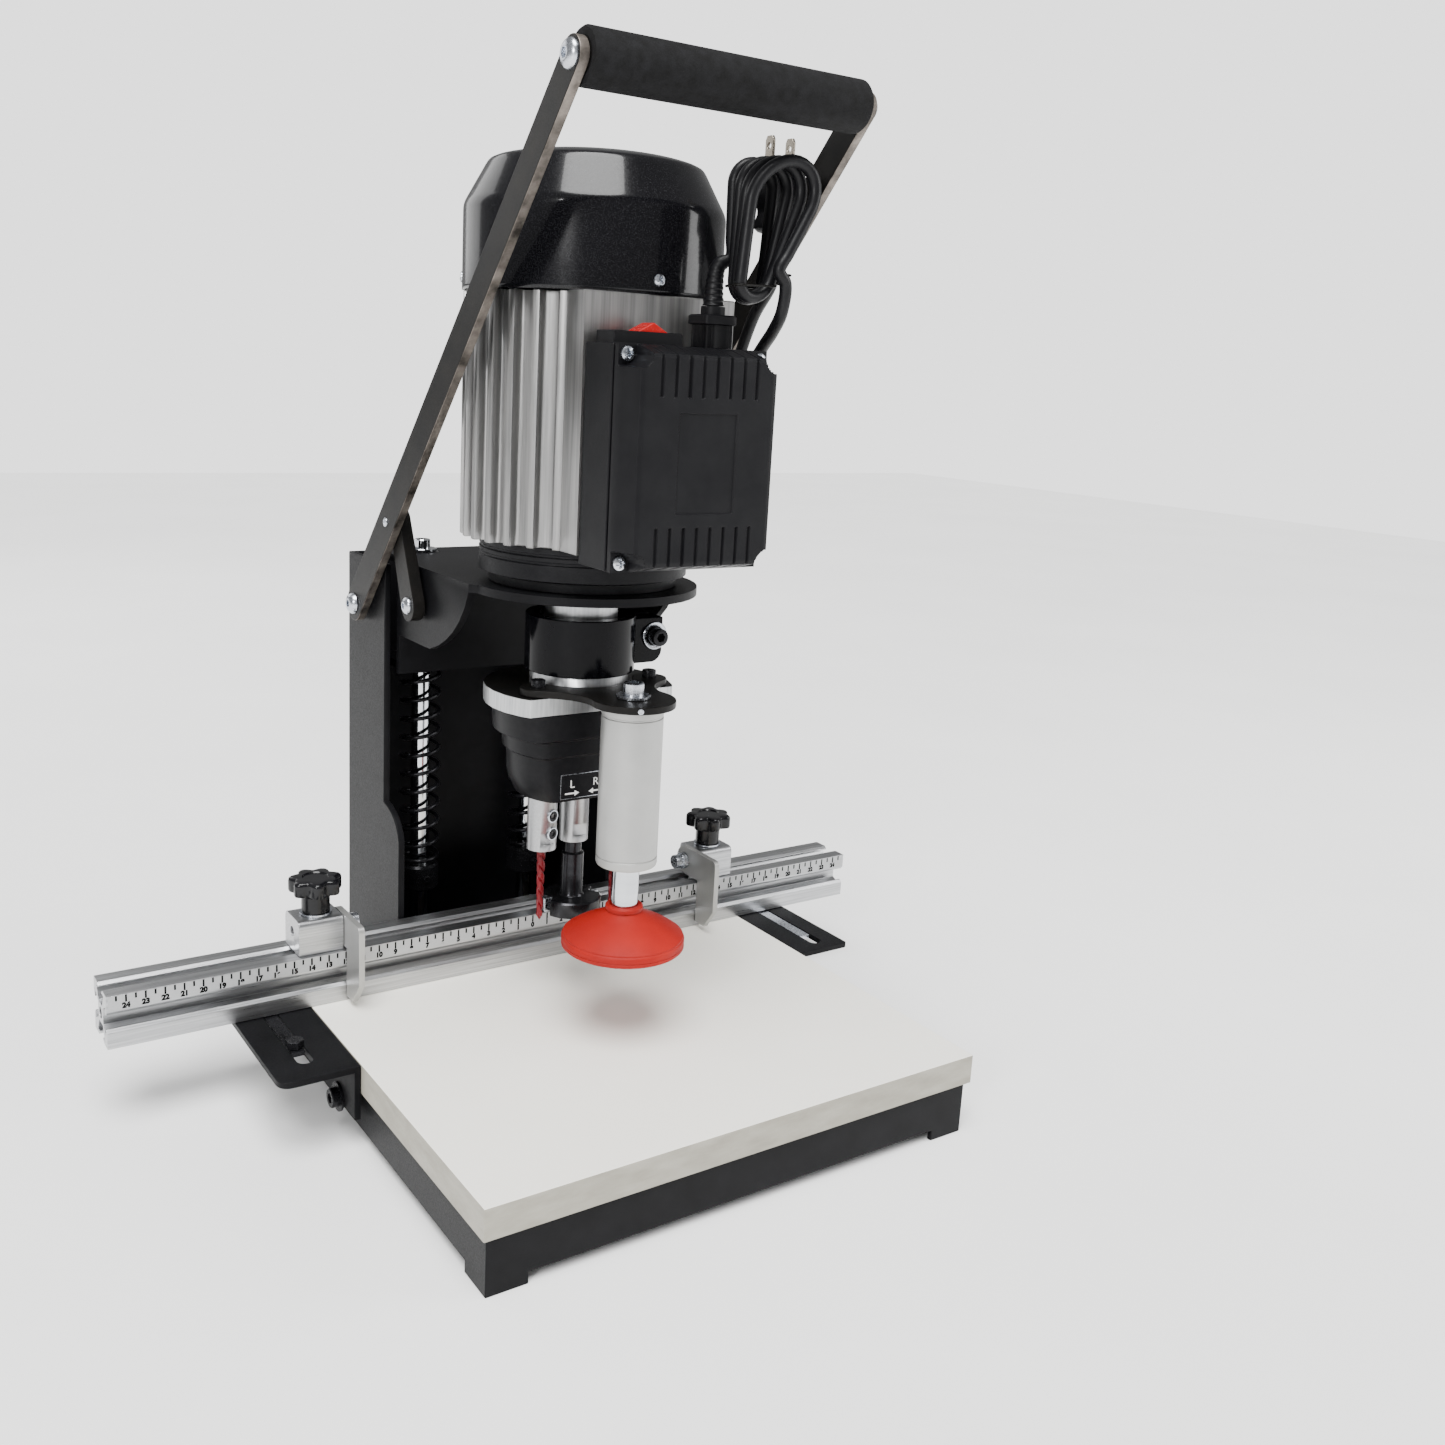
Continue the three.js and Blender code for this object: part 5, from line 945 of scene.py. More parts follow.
for side in SIDES:
    node = "spring_" + side
    spring = stand_in(f"coil_{side}", node, spring_shape(node), dark_steel)
    foot = box("post_collar_" + side)[1][2]
    length = box("guide_bush_" + side)[0][2] - foot
    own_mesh(spring)

# %% [markdown]
# ## Motor
# The motor stands on the carriage: a bell with the spigot below, a ribbed aluminium housing, and a
# pressed fan cover. The housing is an extrusion, so its outline is carried straight up. Its 30 fins are
# a radius that switches between a root and a tip, and the switch box's pad is a flat reach that wins
# wherever it is larger.

# %% Motor bell
AXIS = middle("rotor")[:2]
AXIS_AT = (*AXIS, 0)
bell_low, bell_high = levels("motor_end_bell")
foot_z = box("carriage")[1][2] + SEAT_GAP
BELL_BORE, BELL_SEAT, BELL_RADIUS = 13, 52, 57.5
SPIGOT_RADIUS, SPIGOT_SHOULDER, SHOULDER_DROP = 20.6, 23.7, 5
BELL_GROOVES, GROOVE_RADIUS = (14.5, 18.5), 56.7
bell_profile = [(BELL_BORE, bell_low), (SPIGOT_RADIUS, bell_low), (SPIGOT_RADIUS, foot_z - SHOULDER_DROP),
                (SPIGOT_SHOULDER, foot_z - SHOULDER_DROP), (SPIGOT_SHOULDER, foot_z), (BELL_SEAT, foot_z),
                (BELL_SEAT, foot_z + 5), (BELL_RADIUS, foot_z + 6.2)]
for start in BELL_GROOVES:
    bell_profile += [(BELL_RADIUS, foot_z + start), (GROOVE_RADIUS, foot_z + (start + 0.5)),
                     (GROOVE_RADIUS, foot_z + (start + 1.5)), (BELL_RADIUS, foot_z + (start + 2))]
bell_profile += [(BELL_RADIUS, bell_high - 0.4), (BELL_RADIUS - 0.4, bell_high), (BELL_BORE, bell_high)]
bell_shape = turned(bell_profile, AXIS_AT, sides=144)
bell = stand_in("bell", "motor_end_bell", bell_shape, [bell_paint, machined], 0.25)
# The spigot below the foot is left bare.
middles = np.empty(len(bell.data.polygons) * 3)
bell.data.polygons.foreach_get("center", middles)
bell.data.polygons.foreach_set("material_index", (middles[2::3] / MM < foot_z - 0.1).astype(np.int32))

# %% Ribbed housing
FIN_COUNT = 30
FIN_ROOT, FIN_TIP = 62, 68
HOUSING_BORE, HOUSING_CHAMFER = 58, 0.6
PAD_HALF_WIDTH, PAD_REACH = 44, 69


def housing_outline():
    """Radius over the angle. Each fin is a row of (angle, radius) pairs with a rounded root and tip, and
    the pad is the distance to a rectangle, min(reach / |sin|, half width / |cos|), at the front."""
    pitch = 2 * np.pi / FIN_COUNT
    offsets = np.array([-0.5, -0.32, -0.22, -0.178, -0.155, -0.15, -0.15, -0.13, -0.08, 0.0])
    heights = np.array([0, 0, 0.03, 0.1, 0.22, 0.35, 0.86, 0.97, 1.0, 1.0])
    offsets = np.concatenate([offsets, -offsets[-2:0:-1]]) * pitch
    heights = np.concatenate([heights, heights[-2:0:-1]])
    angle = (np.arange(FIN_COUNT)[:, None] * pitch + offsets[None]).ravel()
    radius = np.tile(FIN_ROOT + (FIN_TIP - FIN_ROOT) * heights, FIN_COUNT)
    corner = math.atan2(PAD_REACH, PAD_HALF_WIDTH)
    side = math.acos(PAD_HALF_WIDTH / FIN_TIP)
    extra = np.concatenate([[-corner, -np.pi + corner, -side, -np.pi + side],
                            -np.linspace(corner, np.pi - corner, 30)[1:-1],
                            -np.linspace(side, corner, 6)[1:-1], np.linspace(side, corner, 6)[1:-1] - np.pi])
    angle = np.concatenate([angle, extra])
    radius = np.concatenate([radius, np.full(len(extra), FIN_ROOT)])
    angle = (angle + np.pi) % (2 * np.pi) - np.pi
    order = np.argsort(angle, kind="stable")
    angle, radius = angle[order], radius[order]
    with np.errstate(divide="ignore"):
        pad = np.minimum(PAD_REACH / np.abs(np.sin(angle)), PAD_HALF_WIDTH / np.abs(np.cos(angle)))
    pad = np.where(pad > FIN_ROOT, pad, 0)
    return angle, np.where(np.sin(angle) < 0, np.maximum(radius, pad), radius)


def housing_shape():
    """Outline at four heights, chamfered at both ends, and the bore inside."""
    low, high = levels("motor_housing")
    angle, radius = housing_outline()
    bore, narrower = np.full(len(angle), float(HOUSING_BORE)), radius - HOUSING_CHAMFER
    r = np.array([bore, narrower, radius, radius, narrower, bore])
    z = np.array([low, low, low + HOUSING_CHAMFER, high - HOUSING_CHAMFER, high, high])
    return lofted(rings_round(AXIS, r, angle, z[:, None]))


housing = stand_in("ribbed_housing", "motor_housing", housing_shape(), cast)
print("housing faces:", len(housing.data.polygons))

# %% [markdown]
# The fan cover is pressed from sheet and painted gloss black with a metal flake. It is a single sheet of
# points, its radius and height given by a rounded profile, and it gets its thickness from Solidify. The
# ten air slots are made by leaving out each face whose middle lies inside a slot.

# %% Fan cover
COVER_RADIUS, CROWN_RADIUS = 69, 53
CROWN_DROP, SKIRT_DROP = 4, 28
COVER_WALL = 2.5
COVER_SIDES = 180
VENTS = 10
VENT_INNER, VENT_OUTER, VENT_WIDTH = 20, 40, 5
COVER_SCREW_ANGLES, COVER_SCREW_RISE = (-92, 28, 148), 6.7


def cover_shape():
    """Polar sheet: rows run from the middle of the crown down to the skirt's rim. A face is left out
    where its middle is between the slot radii and within half a width of a slot's line."""
    low, high = box("fan_cover")
    skirt, shoulder = high[2] - SKIRT_DROP, high[2] - CROWN_DROP
    crown = [(r, high[2] - CROWN_DROP * (r / CROWN_RADIUS) ** 4) for r in np.linspace(0, CROWN_RADIUS, 25)]
    side = softened([(CROWN_RADIUS, shoulder), (CROWN_RADIUS + 3.5, shoulder - 1.5), (COVER_RADIUS, skirt),
                     (COVER_RADIUS, low[2] + 3), (COVER_RADIUS, low[2])], 3.0, 6)
    profile = np.array([*crown[:-1], *side.tolist()])
    rings = rings_round(AXIS, profile[:, :1], round_angles(COVER_SIDES), profile[:, 1:])
    points, faces = lofted(rings, close_rows=False)
    middles = points[np.array(faces)].mean(axis=1)[:, :2] - AXIS
    reach, turn = np.hypot(*middles.T), np.arctan2(middles[:, 1], middles[:, 0])
    pitch = 2 * np.pi / VENTS
    off = np.abs((turn + pitch / 2) % pitch - pitch / 2) * reach
    vent = (reach > VENT_INNER) & (reach < VENT_OUTER) & (off < VENT_WIDTH / 2)
    return points, [face for face, out in zip(faces, vent) if not out]


cover = stand_in("cover_of_fan", "fan_cover", cover_shape(), flake_black)
sheet = cover.modifiers.new("sheet", "SOLIDIFY")
sheet.thickness = COVER_WALL * MM
sheet.offset = -1
for node, finish in (("stator", dark_steel), ("rotor", tool_steel)):
    frame["nodes"][node].material_slots[0].material = finish
rim_middle = np.array((*AXIS, box("fan_cover")[0][2] + COVER_SCREW_RISE))
for number, turn in enumerate(np.radians(COVER_SCREW_ANGLES)):
    way = np.array((math.cos(turn), math.sin(turn), 0))
    place = rim_middle + way * (COVER_RADIUS - 0.1)
    screws(f"cover_screw_{number + 1}", cross_head(3, 1.8), [place], way, zinc, "carriage")
print("cover points:", len(cover.data.vertices))

# %% [markdown]
# ## Switch box
# The box's cover is a moulded tray whose front is a relief: eight cooling grooves at the top, eight at
# the bottom, a label recess left bare, and a round notch at each corner with a screw in it. The front is
# one grid over width and height, and its depth at each point adds up these features.

# %% Switch box cover
BOX_BEVEL = 4
BOX_SHOULDER = 14.8
GROOVES = np.arange(8) * 7.8 - 27.3
GROOVE_HALF_WIDTH, GROOVE_DEPTH = 0.8, 1.3
UPPER_GROOVE, LOWER_GROOVE = 20, 19
LABEL_HALF_WIDTH, LABEL_LOW, LABEL_HIGH, LABEL_DEPTH = 17, 29, 77, 0.8
NOTCH_RADIUS = 9
BOX_SCREW_INSET = 4.6
BOX_RIM_INSET, BOX_RIM_DEPTH = 1.2, 1.8
GRID_STEP, FINE_STEP, FINE_REACH = 0.9, 0.35, 1.6
cover_low, cover_high = box("box_cover")
BOX_HEIGHT, BOX_HALF_WIDTH = cover_high[2] - cover_low[2], cover_high[0]


def ease(value):
    """Runs from 0 to 1 with level ends, and stays there: v^2 (3 - 2 v)."""
    value = np.clip(value, 0, 1)
    return value * value * (3 - 2 * value)


def box_relief(x, z):
    """How far behind the front plane each point lies. x from the middle, z from the bottom, in mm."""
    edge = np.minimum(np.minimum(BOX_HALF_WIDTH - np.abs(x), z), BOX_HEIGHT - z)
    bevel = BOX_SHOULDER * np.clip(1 - edge / BOX_BEVEL, 0, 1)
    soft = 0.5 * ease(1 - (edge - BOX_BEVEL) / 2) * (edge > BOX_BEVEL)
    groove = ease((GROOVE_HALF_WIDTH - np.abs(x[..., None] - GROOVES).min(axis=-1)) / 0.5 + 0.5)
    upper = ease((z - (BOX_HEIGHT - BOX_BEVEL - UPPER_GROOVE)) / 0.8)
    lower = ease((BOX_BEVEL + LOWER_GROOVE - z) / 0.8) * (z > 1.5)
    label = ease((z - LABEL_LOW) / 0.5) * ease((LABEL_HIGH - z) / 0.5)
    label = ease((LABEL_HALF_WIDTH - np.abs(x)) / 0.5) * label
    from_corner = np.hypot(BOX_HALF_WIDTH - BOX_BEVEL / 2 - np.abs(x),
                           np.minimum(z, BOX_HEIGHT - z) - BOX_BEVEL / 2)
    notch = BOX_SHOULDER * ease((NOTCH_RADIUS - from_corner) / 0.7)
    front = bevel + GROOVE_DEPTH * groove * np.maximum(upper, lower)
    return np.maximum(np.maximum(front, notch), soft) + LABEL_DEPTH * label


def fine_lines(low, high, marks):
    """Grid lines from low to high at the grid's step, with lines at the fine step near each mark."""
    near = np.concatenate([mark + np.arange(-FINE_REACH, FINE_REACH + 0.01, FINE_STEP) for mark in marks])
    lines = np.concatenate([np.linspace(low, high, round((high - low) / GRID_STEP) + 1), near])
    return np.unique(np.round(lines[(lines >= low) & (lines <= high)], 2))


def box_cover_shape():
    """Front relief over a grid of x and z, then straight sides back to a rim that steps in."""
    bevel_x = BOX_HALF_WIDTH - BOX_BEVEL
    across = fine_lines(-BOX_HALF_WIDTH, BOX_HALF_WIDTH,
                        [*GROOVES, -LABEL_HALF_WIDTH, LABEL_HALF_WIDTH, -bevel_x, bevel_x])
    up = fine_lines(0, BOX_HEIGHT, [BOX_BEVEL, BOX_HEIGHT - BOX_BEVEL, LABEL_LOW, LABEL_HIGH,
                                    BOX_BEVEL + LOWER_GROOVE, BOX_HEIGHT - BOX_BEVEL - UPPER_GROOVE])
    x, z = np.meshgrid(across, up)
    points = np.stack([x, cover_low[1] + box_relief(x, z), z + cover_low[2]], axis=-1)
    faces = grid_faces(*x.shape, close_columns=False)
    number = np.arange(x.size).reshape(x.shape)
    rim = np.concatenate([number[0], number[1:, -1], number[-1, -2::-1], number[-2:0:-1, 0]])
    edge = points.reshape(-1, 3)[rim]
    off_x, off_z = edge[:, 0], edge[:, 2] - (cover_low[2] + cover_high[2]) / 2
    inset = edge.copy()
    inset[:, 0] -= np.sign(off_x) * (np.abs(off_x) > BOX_HALF_WIDTH - 0.01) * BOX_RIM_INSET
    inset[:, 2] -= np.sign(off_z) * (np.abs(off_z) > BOX_HEIGHT / 2 - 0.01) * BOX_RIM_INSET
    back, step = cover_high[1], cover_high[1] - BOX_RIM_DEPTH
    rings = [edge, edge * (1, 0, 1) + (0, step, 0), inset * (1, 0, 1) + (0, step, 0),
             inset * (1, 0, 1) + (0, back, 0)]
    skirt, skirt_faces = lofted(rings, close_rows=False)
    last = len(edge) * 3
    skirt_faces.append(list(range(last, last + len(edge))))
    return joined((points.reshape(-1, 3), faces), (skirt, skirt_faces))


box_front = stand_in("box_front", "box_cover", box_cover_shape(), abs_plastic)
screw_floor, screw_x = cover_low[1] + BOX_SHOULDER, BOX_HALF_WIDTH - BOX_SCREW_INSET
screw_places = [(x, screw_floor, z) for x in (-screw_x, screw_x)
                for z in (cover_low[2] + BOX_SCREW_INSET, cover_high[2] - BOX_SCREW_INSET)]
screws("box_screws", cross_head(3.5, 2.2), screw_places, (0, -1, 0), zinc, "carriage")
print("box front faces:", len(box_front.data.polygons))

# %% [markdown]
# The rocker is a roof-shaped bar, and its outline is carried straight through. It is drawn tipped, with
# its right end pressed down. The gland is a squared-off block with a lip: a superellipse, with fine ribs
# where it is gripped.

# %% Rocker and gland
rocker_low, rocker_high = box("switch_rocker")
rocker_pivot = rocker_low[[0, 2]] + (11.1, 6.4)
rocker_outline = rocker_pivot + [(-10.8, -2), (-10.4, 0.4), (-2, 4.7), (9.2, -1.6), (6.5, -3.4), (-6.5, -6.2)]
rocker_shape = prism(rocker_outline, rocker_low[1], rocker_high[1], "y")
stand_in("rocker_cap", "switch_rocker", rocker_shape, red_plastic, 0.7)
GLAND_RIBS, GLAND_RIB_SHARE = 40, 0.03


def gland_shape():
    """Sections of a superellipse up the gland, as (height, half width, half depth, power, ribbed): a
    ribbed block, a lip, and a round neck. A rib's valley lies a share of the radius below its crest."""
    base, top = levels("cord_gland")
    rows = [(base, 0, 0, 0.3, 0), (base, 8.4, 7.7, 0.3, 1), (base + 11, 8.4, 7.7, 0.3, 1),
            (base + 11.5, 9.8, 9, 0.3, 0), (base + 15.3, 9.8, 9, 0.3, 0), (base + 16, 9, 8.2, 0.3, 0),
            (base + 16, 6, 6, 1, 0), (top, 6, 6, 1, 0), (top, 0, 0, 1, 0)]
    z, a, b, power, ribbed = columns(rows)
    angle = round_angles(320)
    size = 1 - GLAND_RIB_SHARE * ribbed * (np.cos(GLAND_RIBS * angle) > 0)
    rings = squared_rings(middle("cord_gland"), size * a, size * b, power, angle, z)
    return lofted(rings, close_rows=False)


stand_in("gland", "cord_gland", gland_shape(), abs_plastic)

# %% [markdown]
# ## Drilling head
# The clamp is a ring with two ears at its right, drawn together by a cap screw in a bright ring. Under
# it hangs the gear block, a stepped disc with a flat front. The hold-down's bracket is a flat plate with
# two wings and a round lug, held by two dark cap screws, and set screws hold the drills.

# %% Clamp, gear block and bracket
collar_low, collar_high = box("collar_clamp")
COLLAR_BORE, COLLAR_OUTER = 24.3, 31
EAR_START, EAR_MARGIN, EAR_ROUND = 27, 2.85, 7
EAR_HALF_DEPTH, EAR_HALF_GAP = 14, 1.25
ear_low, ear_high, ear_end = collar_low[2] + EAR_MARGIN, collar_high[2] - EAR_MARGIN, collar_high[0]
ear_outline = [(EAR_START, ear_high), (EAR_START, ear_low),
               *arc((ear_end - EAR_ROUND, ear_low + EAR_ROUND), EAR_ROUND, -np.pi / 2, 0, 10),
               (ear_end, ear_high)]
collar_ring = turned(ring(COLLAR_BORE, COLLAR_OUTER, collar_low[2], collar_high[2]), AXIS_AT, sides=128)
ears = [prism(ear_outline, AXIS[1] + a, AXIS[1] + b, "y")
        for a, b in ((-EAR_HALF_DEPTH, -EAR_HALF_GAP), (EAR_HALF_GAP, EAR_HALF_DEPTH))]
stand_in("head_clamp", "collar_clamp", joined(collar_ring, *ears), gloss_black, 0.6)
BLOCK_STEPS = (14.5, 25.5)
BLOCK_POWER = 30.0


def block_shape():
    """Steps of a disc with a flat front, as (radius, reach of the flat, height). The radius over the angle
    is the soft minimum (r^-p + (flat / |sin|)^-p)^(-1/p), so the flat runs into the round smoothly."""
    bottom, top = levels("head_block")
    step_1, step_2 = (top - step for step in BLOCK_STEPS)
    rows = [(0, 28, top), (48.8, 28, top), (47.9, 27.6, step_1), (44.2, 25.6, step_1 - 1.2),
            (43, 25, step_1 - 1.6), (42.4, 24.8, step_2 + 0.8), (40.6, 23.4, step_2), (40, 23, step_2 - 0.6),
            (39.6, 23, bottom + 13), (38.6, 23, bottom + 8), (35.2, 23, bottom + 0.8), (34.6, 22.4, bottom),
            (0, 22.4, bottom)]
    radius, flat, z = columns(rows)
    angle = round_angles(256)
    front = flat / np.clip(-np.sin(angle), 0.05, 1)
    size = np.maximum(radius, 0.01)
    r = np.where(radius > 0, (size**-BLOCK_POWER + front**-BLOCK_POWER) ** (-1 / BLOCK_POWER), 0)
    return lofted(rings_round(AXIS, r, angle, z), close_rows=False)


stand_in("gear_block", "head_block", block_shape(), anodised_black, 0.3)
LUG_RADIUS, LUG_END = 23, 0.26
WING_RADIUS, WING_START, WING_END = 10, -1.05, 2.2
BRACKET_CUT, BRACKET_HOLLOW = 30.5, (22, -31.5)


def bracket_shape():
    """Plate: a round lug in front, two wings, hollow curves between them, and a round cut behind."""
    low, high = box("hold_down_bracket")
    lug = arc((0, low[1] + LUG_RADIUS), LUG_RADIUS, -np.pi / 2, LUG_END, 24)
    wing = arc((high[0] - WING_RADIUS, high[1] - WING_RADIUS), WING_RADIUS, WING_START, WING_END, 24)
    t = np.linspace(0, 1, 14)[:, None]
    hollow = (1 - t) ** 2 * lug[-1] + 2 * t * (1 - t) * np.array(BRACKET_HOLLOW) + t**2 * wing[0]
    inner = math.asin((wing[-1][1] - AXIS[1]) / BRACKET_CUT)
    behind = arc(AXIS, BRACKET_CUT, inner, -np.pi / 2, 20)[1:]
    half = np.concatenate([lug[:-1], hollow[:-1], wing, behind])
    outline = np.concatenate([half, (half * (-1, 1))[::-1][1:-1]])
    return prism(outline, low[2], high[2])


stand_in("hold_bracket", "hold_down_bracket", bracket_shape(), satin, 0.5)

# %% Head screws
CLAMP_SCREW_AT = (40.5, -9.3, 261.5)
PLATE_TOP = 238.8
# Where each spindle stands in x and y, and the direction its set screws face in degrees.
SPINDLES = {"left": (-24, -1, -74), "middle": (0, 5, 30), "right": (24, -1, -74)}
SET_SCREW_OUT, SET_SCREW_HEIGHTS = 7.9, (162.2, 151.9)
washer_shape = turned([(5.6, 0), (8, 0), (8, 0.5), (7.7, 0.8), (6, 0.8), (5.6, 0.5)], sides=64)
washer_shape = aimed(washer_shape, CLAMP_SCREW_AT, (0, -1, 0))
clamp_washer = make_piece("clamp_ring", *washer_shape, zinc, "carriage")
screws("clamp_screw", cap_head(5, 7), [CLAMP_SCREW_AT], (0, -1, 0), dark_steel, "carriage")
screws("bracket_screws", cap_head(4, 4.2), [(-35.5, -13, PLATE_TOP), (35.5, -13, PLATE_TOP)], (0, 0, 1),
       dark_steel, "carriage")
screws("bracket_pin", cap_head(1.6, 0.5), [(-8.5, -74.8, PLATE_TOP - 2)], (-0.37, -0.93, 0), zinc, "carriage")
set_ring = turned([(3.1, 0), (3.8, 0), (3.8, 0.75), (3.6, 1.0), (3.1, 1.0)], sides=40)
for name, (x, y, degrees) in SPINDLES.items():
    body, turn = BODY_OF["spindle_" + name], math.radians(degrees)
    way = np.array((math.cos(turn), math.sin(turn), 0))
    heads = [np.array((x, y, z)) + way * SET_SCREW_OUT for z in SET_SCREW_HEIGHTS]
    screws(f"set_screws_{name}", cap_head(3.1, 1.1), heads, way, dark_steel, body)
    screws(f"set_rings_{name}", set_ring, heads, way, zinc, body)

# %% [markdown]
# The letters on the block say which way each spindle turns, with an arrow below each. Letters are text
# turned into a mesh, so that they are real surfaces.

# %% Lettering
def flat_text(text, size, bold=0.0):
    """Outline letters as a thin mesh in their own plane, centred on their width, swelled by bold."""
    data = bpy.data.curves.new("words", "FONT")
    data.body = text
    data.size = size
    data.extrude = 0.03
    data.offset = bold
    data.align_x = "CENTER"
    holder = put_in_scene("words", data)
    bpy.context.view_layer.update()
    mesh = bpy.data.meshes.new_from_object(holder)
    points = np.empty(len(mesh.vertices) * 3)
    mesh.vertices.foreach_get("co", points)
    faces = [list(face.vertices) for face in mesh.polygons]
    bpy.data.objects.remove(holder)
    bpy.data.curves.remove(data)
    bpy.data.meshes.remove(mesh)
    return points.reshape(-1, 3), faces


def on_front(shape, x, y, z):
    """Letters made in x and y, stood up on a plane that faces -Y."""
    points, faces = shape
    return np.stack([x + points[:, 0], y - points[:, 2], z + points[:, 1]], axis=1), faces


def arrow(x, y, z, way):
    """Flat arrow whose head points to the right, or to the left where way is -1."""
    outline = np.array([(-4.5, -0.45), (1.6, -0.45), (1.6, -1.6), (4.5, 0), (1.6, 1.6), (1.6, 0.45),
                        (-4.5, 0.45)])
    outline[:, 0] *= way
    return prism(outline[::way] + (x, z), y - 0.06, y, "y")


BLOCK_FRONT = -18.05
LETTER_SIZE, LETTER_FOOT, ARROW_HEIGHT = 6.4, 180.6, 177.4
# A letter, its place in x, and 1 where its arrow points to the right or -1 to the left.
LETTERS = (("L", -15, 1), ("R", 0, -1), ("L", 15, 1))
FRAME_HALF_WIDTH, FRAME_LOW, FRAME_HIGH, FRAME_LINE = 22.5, 174.4, 188.2, 0.35
letters = [on_front(flat_text(letter, LETTER_SIZE), x, BLOCK_FRONT, LETTER_FOOT)
           for letter, x, way in LETTERS]
arrows = [arrow(x, BLOCK_FRONT, ARROW_HEIGHT, way) for letter, x, way in LETTERS]
frame_back = BLOCK_FRONT - 0.05
frame_lines = [block((-FRAME_HALF_WIDTH, frame_back, z), (FRAME_HALF_WIDTH, BLOCK_FRONT, z + FRAME_LINE))
               for z in (FRAME_LOW, FRAME_HIGH)]
frame_lines += [block((x, frame_back, FRAME_LOW), (x + FRAME_LINE, BLOCK_FRONT, FRAME_HIGH + FRAME_LINE))
                for x in (-FRAME_HALF_WIDTH, FRAME_HALF_WIDTH - FRAME_LINE)]
turn_marks = make_piece("turn_marks", *joined(*letters, *arrows), marking, "carriage")
label_frame = make_piece("label_frame", *joined(*frame_lines), zinc, "carriage")
print("letters:", len(turn_marks.data.polygons), "faces")

# %% [markdown]
# ## Drills
# The cup drill is a disc with two gullets behind its cutting edges and a centre point. The dowel drills
# are twisted: the outline of a bar with two flutes turns as it runs down, and closes to a point.

# %% Drills
FLUTE_START, FLUTE_TWIST, FLUTE_DEPTH = 140, 0.42, 0.55
SHANK_RADIUS, DRILL_POINT = 5, 3
CUTTER_RADIUS, CUTTER_LOW, CUTTER_TOP = 17.5, 3, 12
GULLET_DEPTH = 4.5


def dowel_shape(node):
    """Bar r (1 - 0.55 x flute), with flute = max(0, cos 2 (angle - twist))^2, twisted 0.42 rad per mm. It
    widens to the shank's radius above the flutes, and the last 3 mm run to a point."""
    low, high = levels(node)
    z = np.concatenate([[high, high], np.linspace(FLUTE_START, low + DRILL_POINT, 120),
                        [low + 2.9, low + 1.5, low]])
    radius = np.concatenate([[0, SHANK_RADIUS], np.linspace(2.5, 1.8, len(z) - 5), [1.7, 0.8, 0.0]])
    z, radius, angle = z[:, None], radius[:, None], round_angles(48)
    twist = (FLUTE_START - z) * FLUTE_TWIST
    depth = np.clip((FLUTE_START - 1 - z) / 3, 0, 1) * FLUTE_DEPTH
    flute = np.clip(np.cos(2 * (angle - twist)), 0, 1) ** 2
    return lofted(rings_round(middle(node), radius * (1 - depth * flute), angle, z), close_rows=False)


def cup_shape():
    """Shank, body and cutter, as (radius, height, cut). Where cut is 1, the radius has two gullets, made
    from a narrow cosine."""
    low, high = levels("cup_drill")
    bottom, top, radius = low + CUTTER_LOW, low + CUTTER_TOP, CUTTER_RADIUS
    rows = [(0, high, 0), (SHANK_RADIUS, high, 0), (SHANK_RADIUS, 134.5, 0), (6.5, 133.5, 0),
            (6.5, top + 1.5, 0), (7.5, top + 0.2, 0), (radius - 0.9, top, 1), (radius, top - 0.9, 1),
            (radius, bottom, 1), (radius - 1.2, bottom, 1), (radius - 1.6, bottom + 1.2, 1),
            (3, bottom + 1.2, 0), (2.5, bottom, 0), (0, low, 0)]
    radius, z, cut = columns(rows)
    angle = round_angles(144)
    gullet = np.clip(np.cos(2 * angle) * 6 - 5, 0, 1)
    return lofted(rings_round(AXIS, radius - cut * GULLET_DEPTH * gullet, angle, z), close_rows=False)


for side in SIDES:
    node = "dowel_drill_" + side
    stand_in(f"dowel_bit_{side}", node, dowel_shape(node), drill_red)
cup = stand_in("cup_cutter", "cup_drill", cup_shape(), tool_steel)
edge_z = box("cup_drill")[0][2] + CUTTER_LOW
points, faces = block((12.2, -1.7, edge_z + 0.4), (CUTTER_RADIUS - 0.1, 0.2, edge_z + 8.6))
tip_shapes = [(points * (sign, sign, 1) + AXIS_AT, faces) for sign in (-1, 1)]
tips = make_piece("cup_tips", *joined(*tip_shapes), zinc, BODY_OF["cup_drill"], bevel=0.3)
print("cup faces:", len(cup.data.polygons))

# %% [markdown]
# ## Hold-down
# A sprung cylinder in front of the head presses the door down with a red rubber foot. All its pieces are
# turned, so their profiles carry the detail: the grooves near the cylinder's ends, and the foot's dome,
# neck ring and stepped rim.

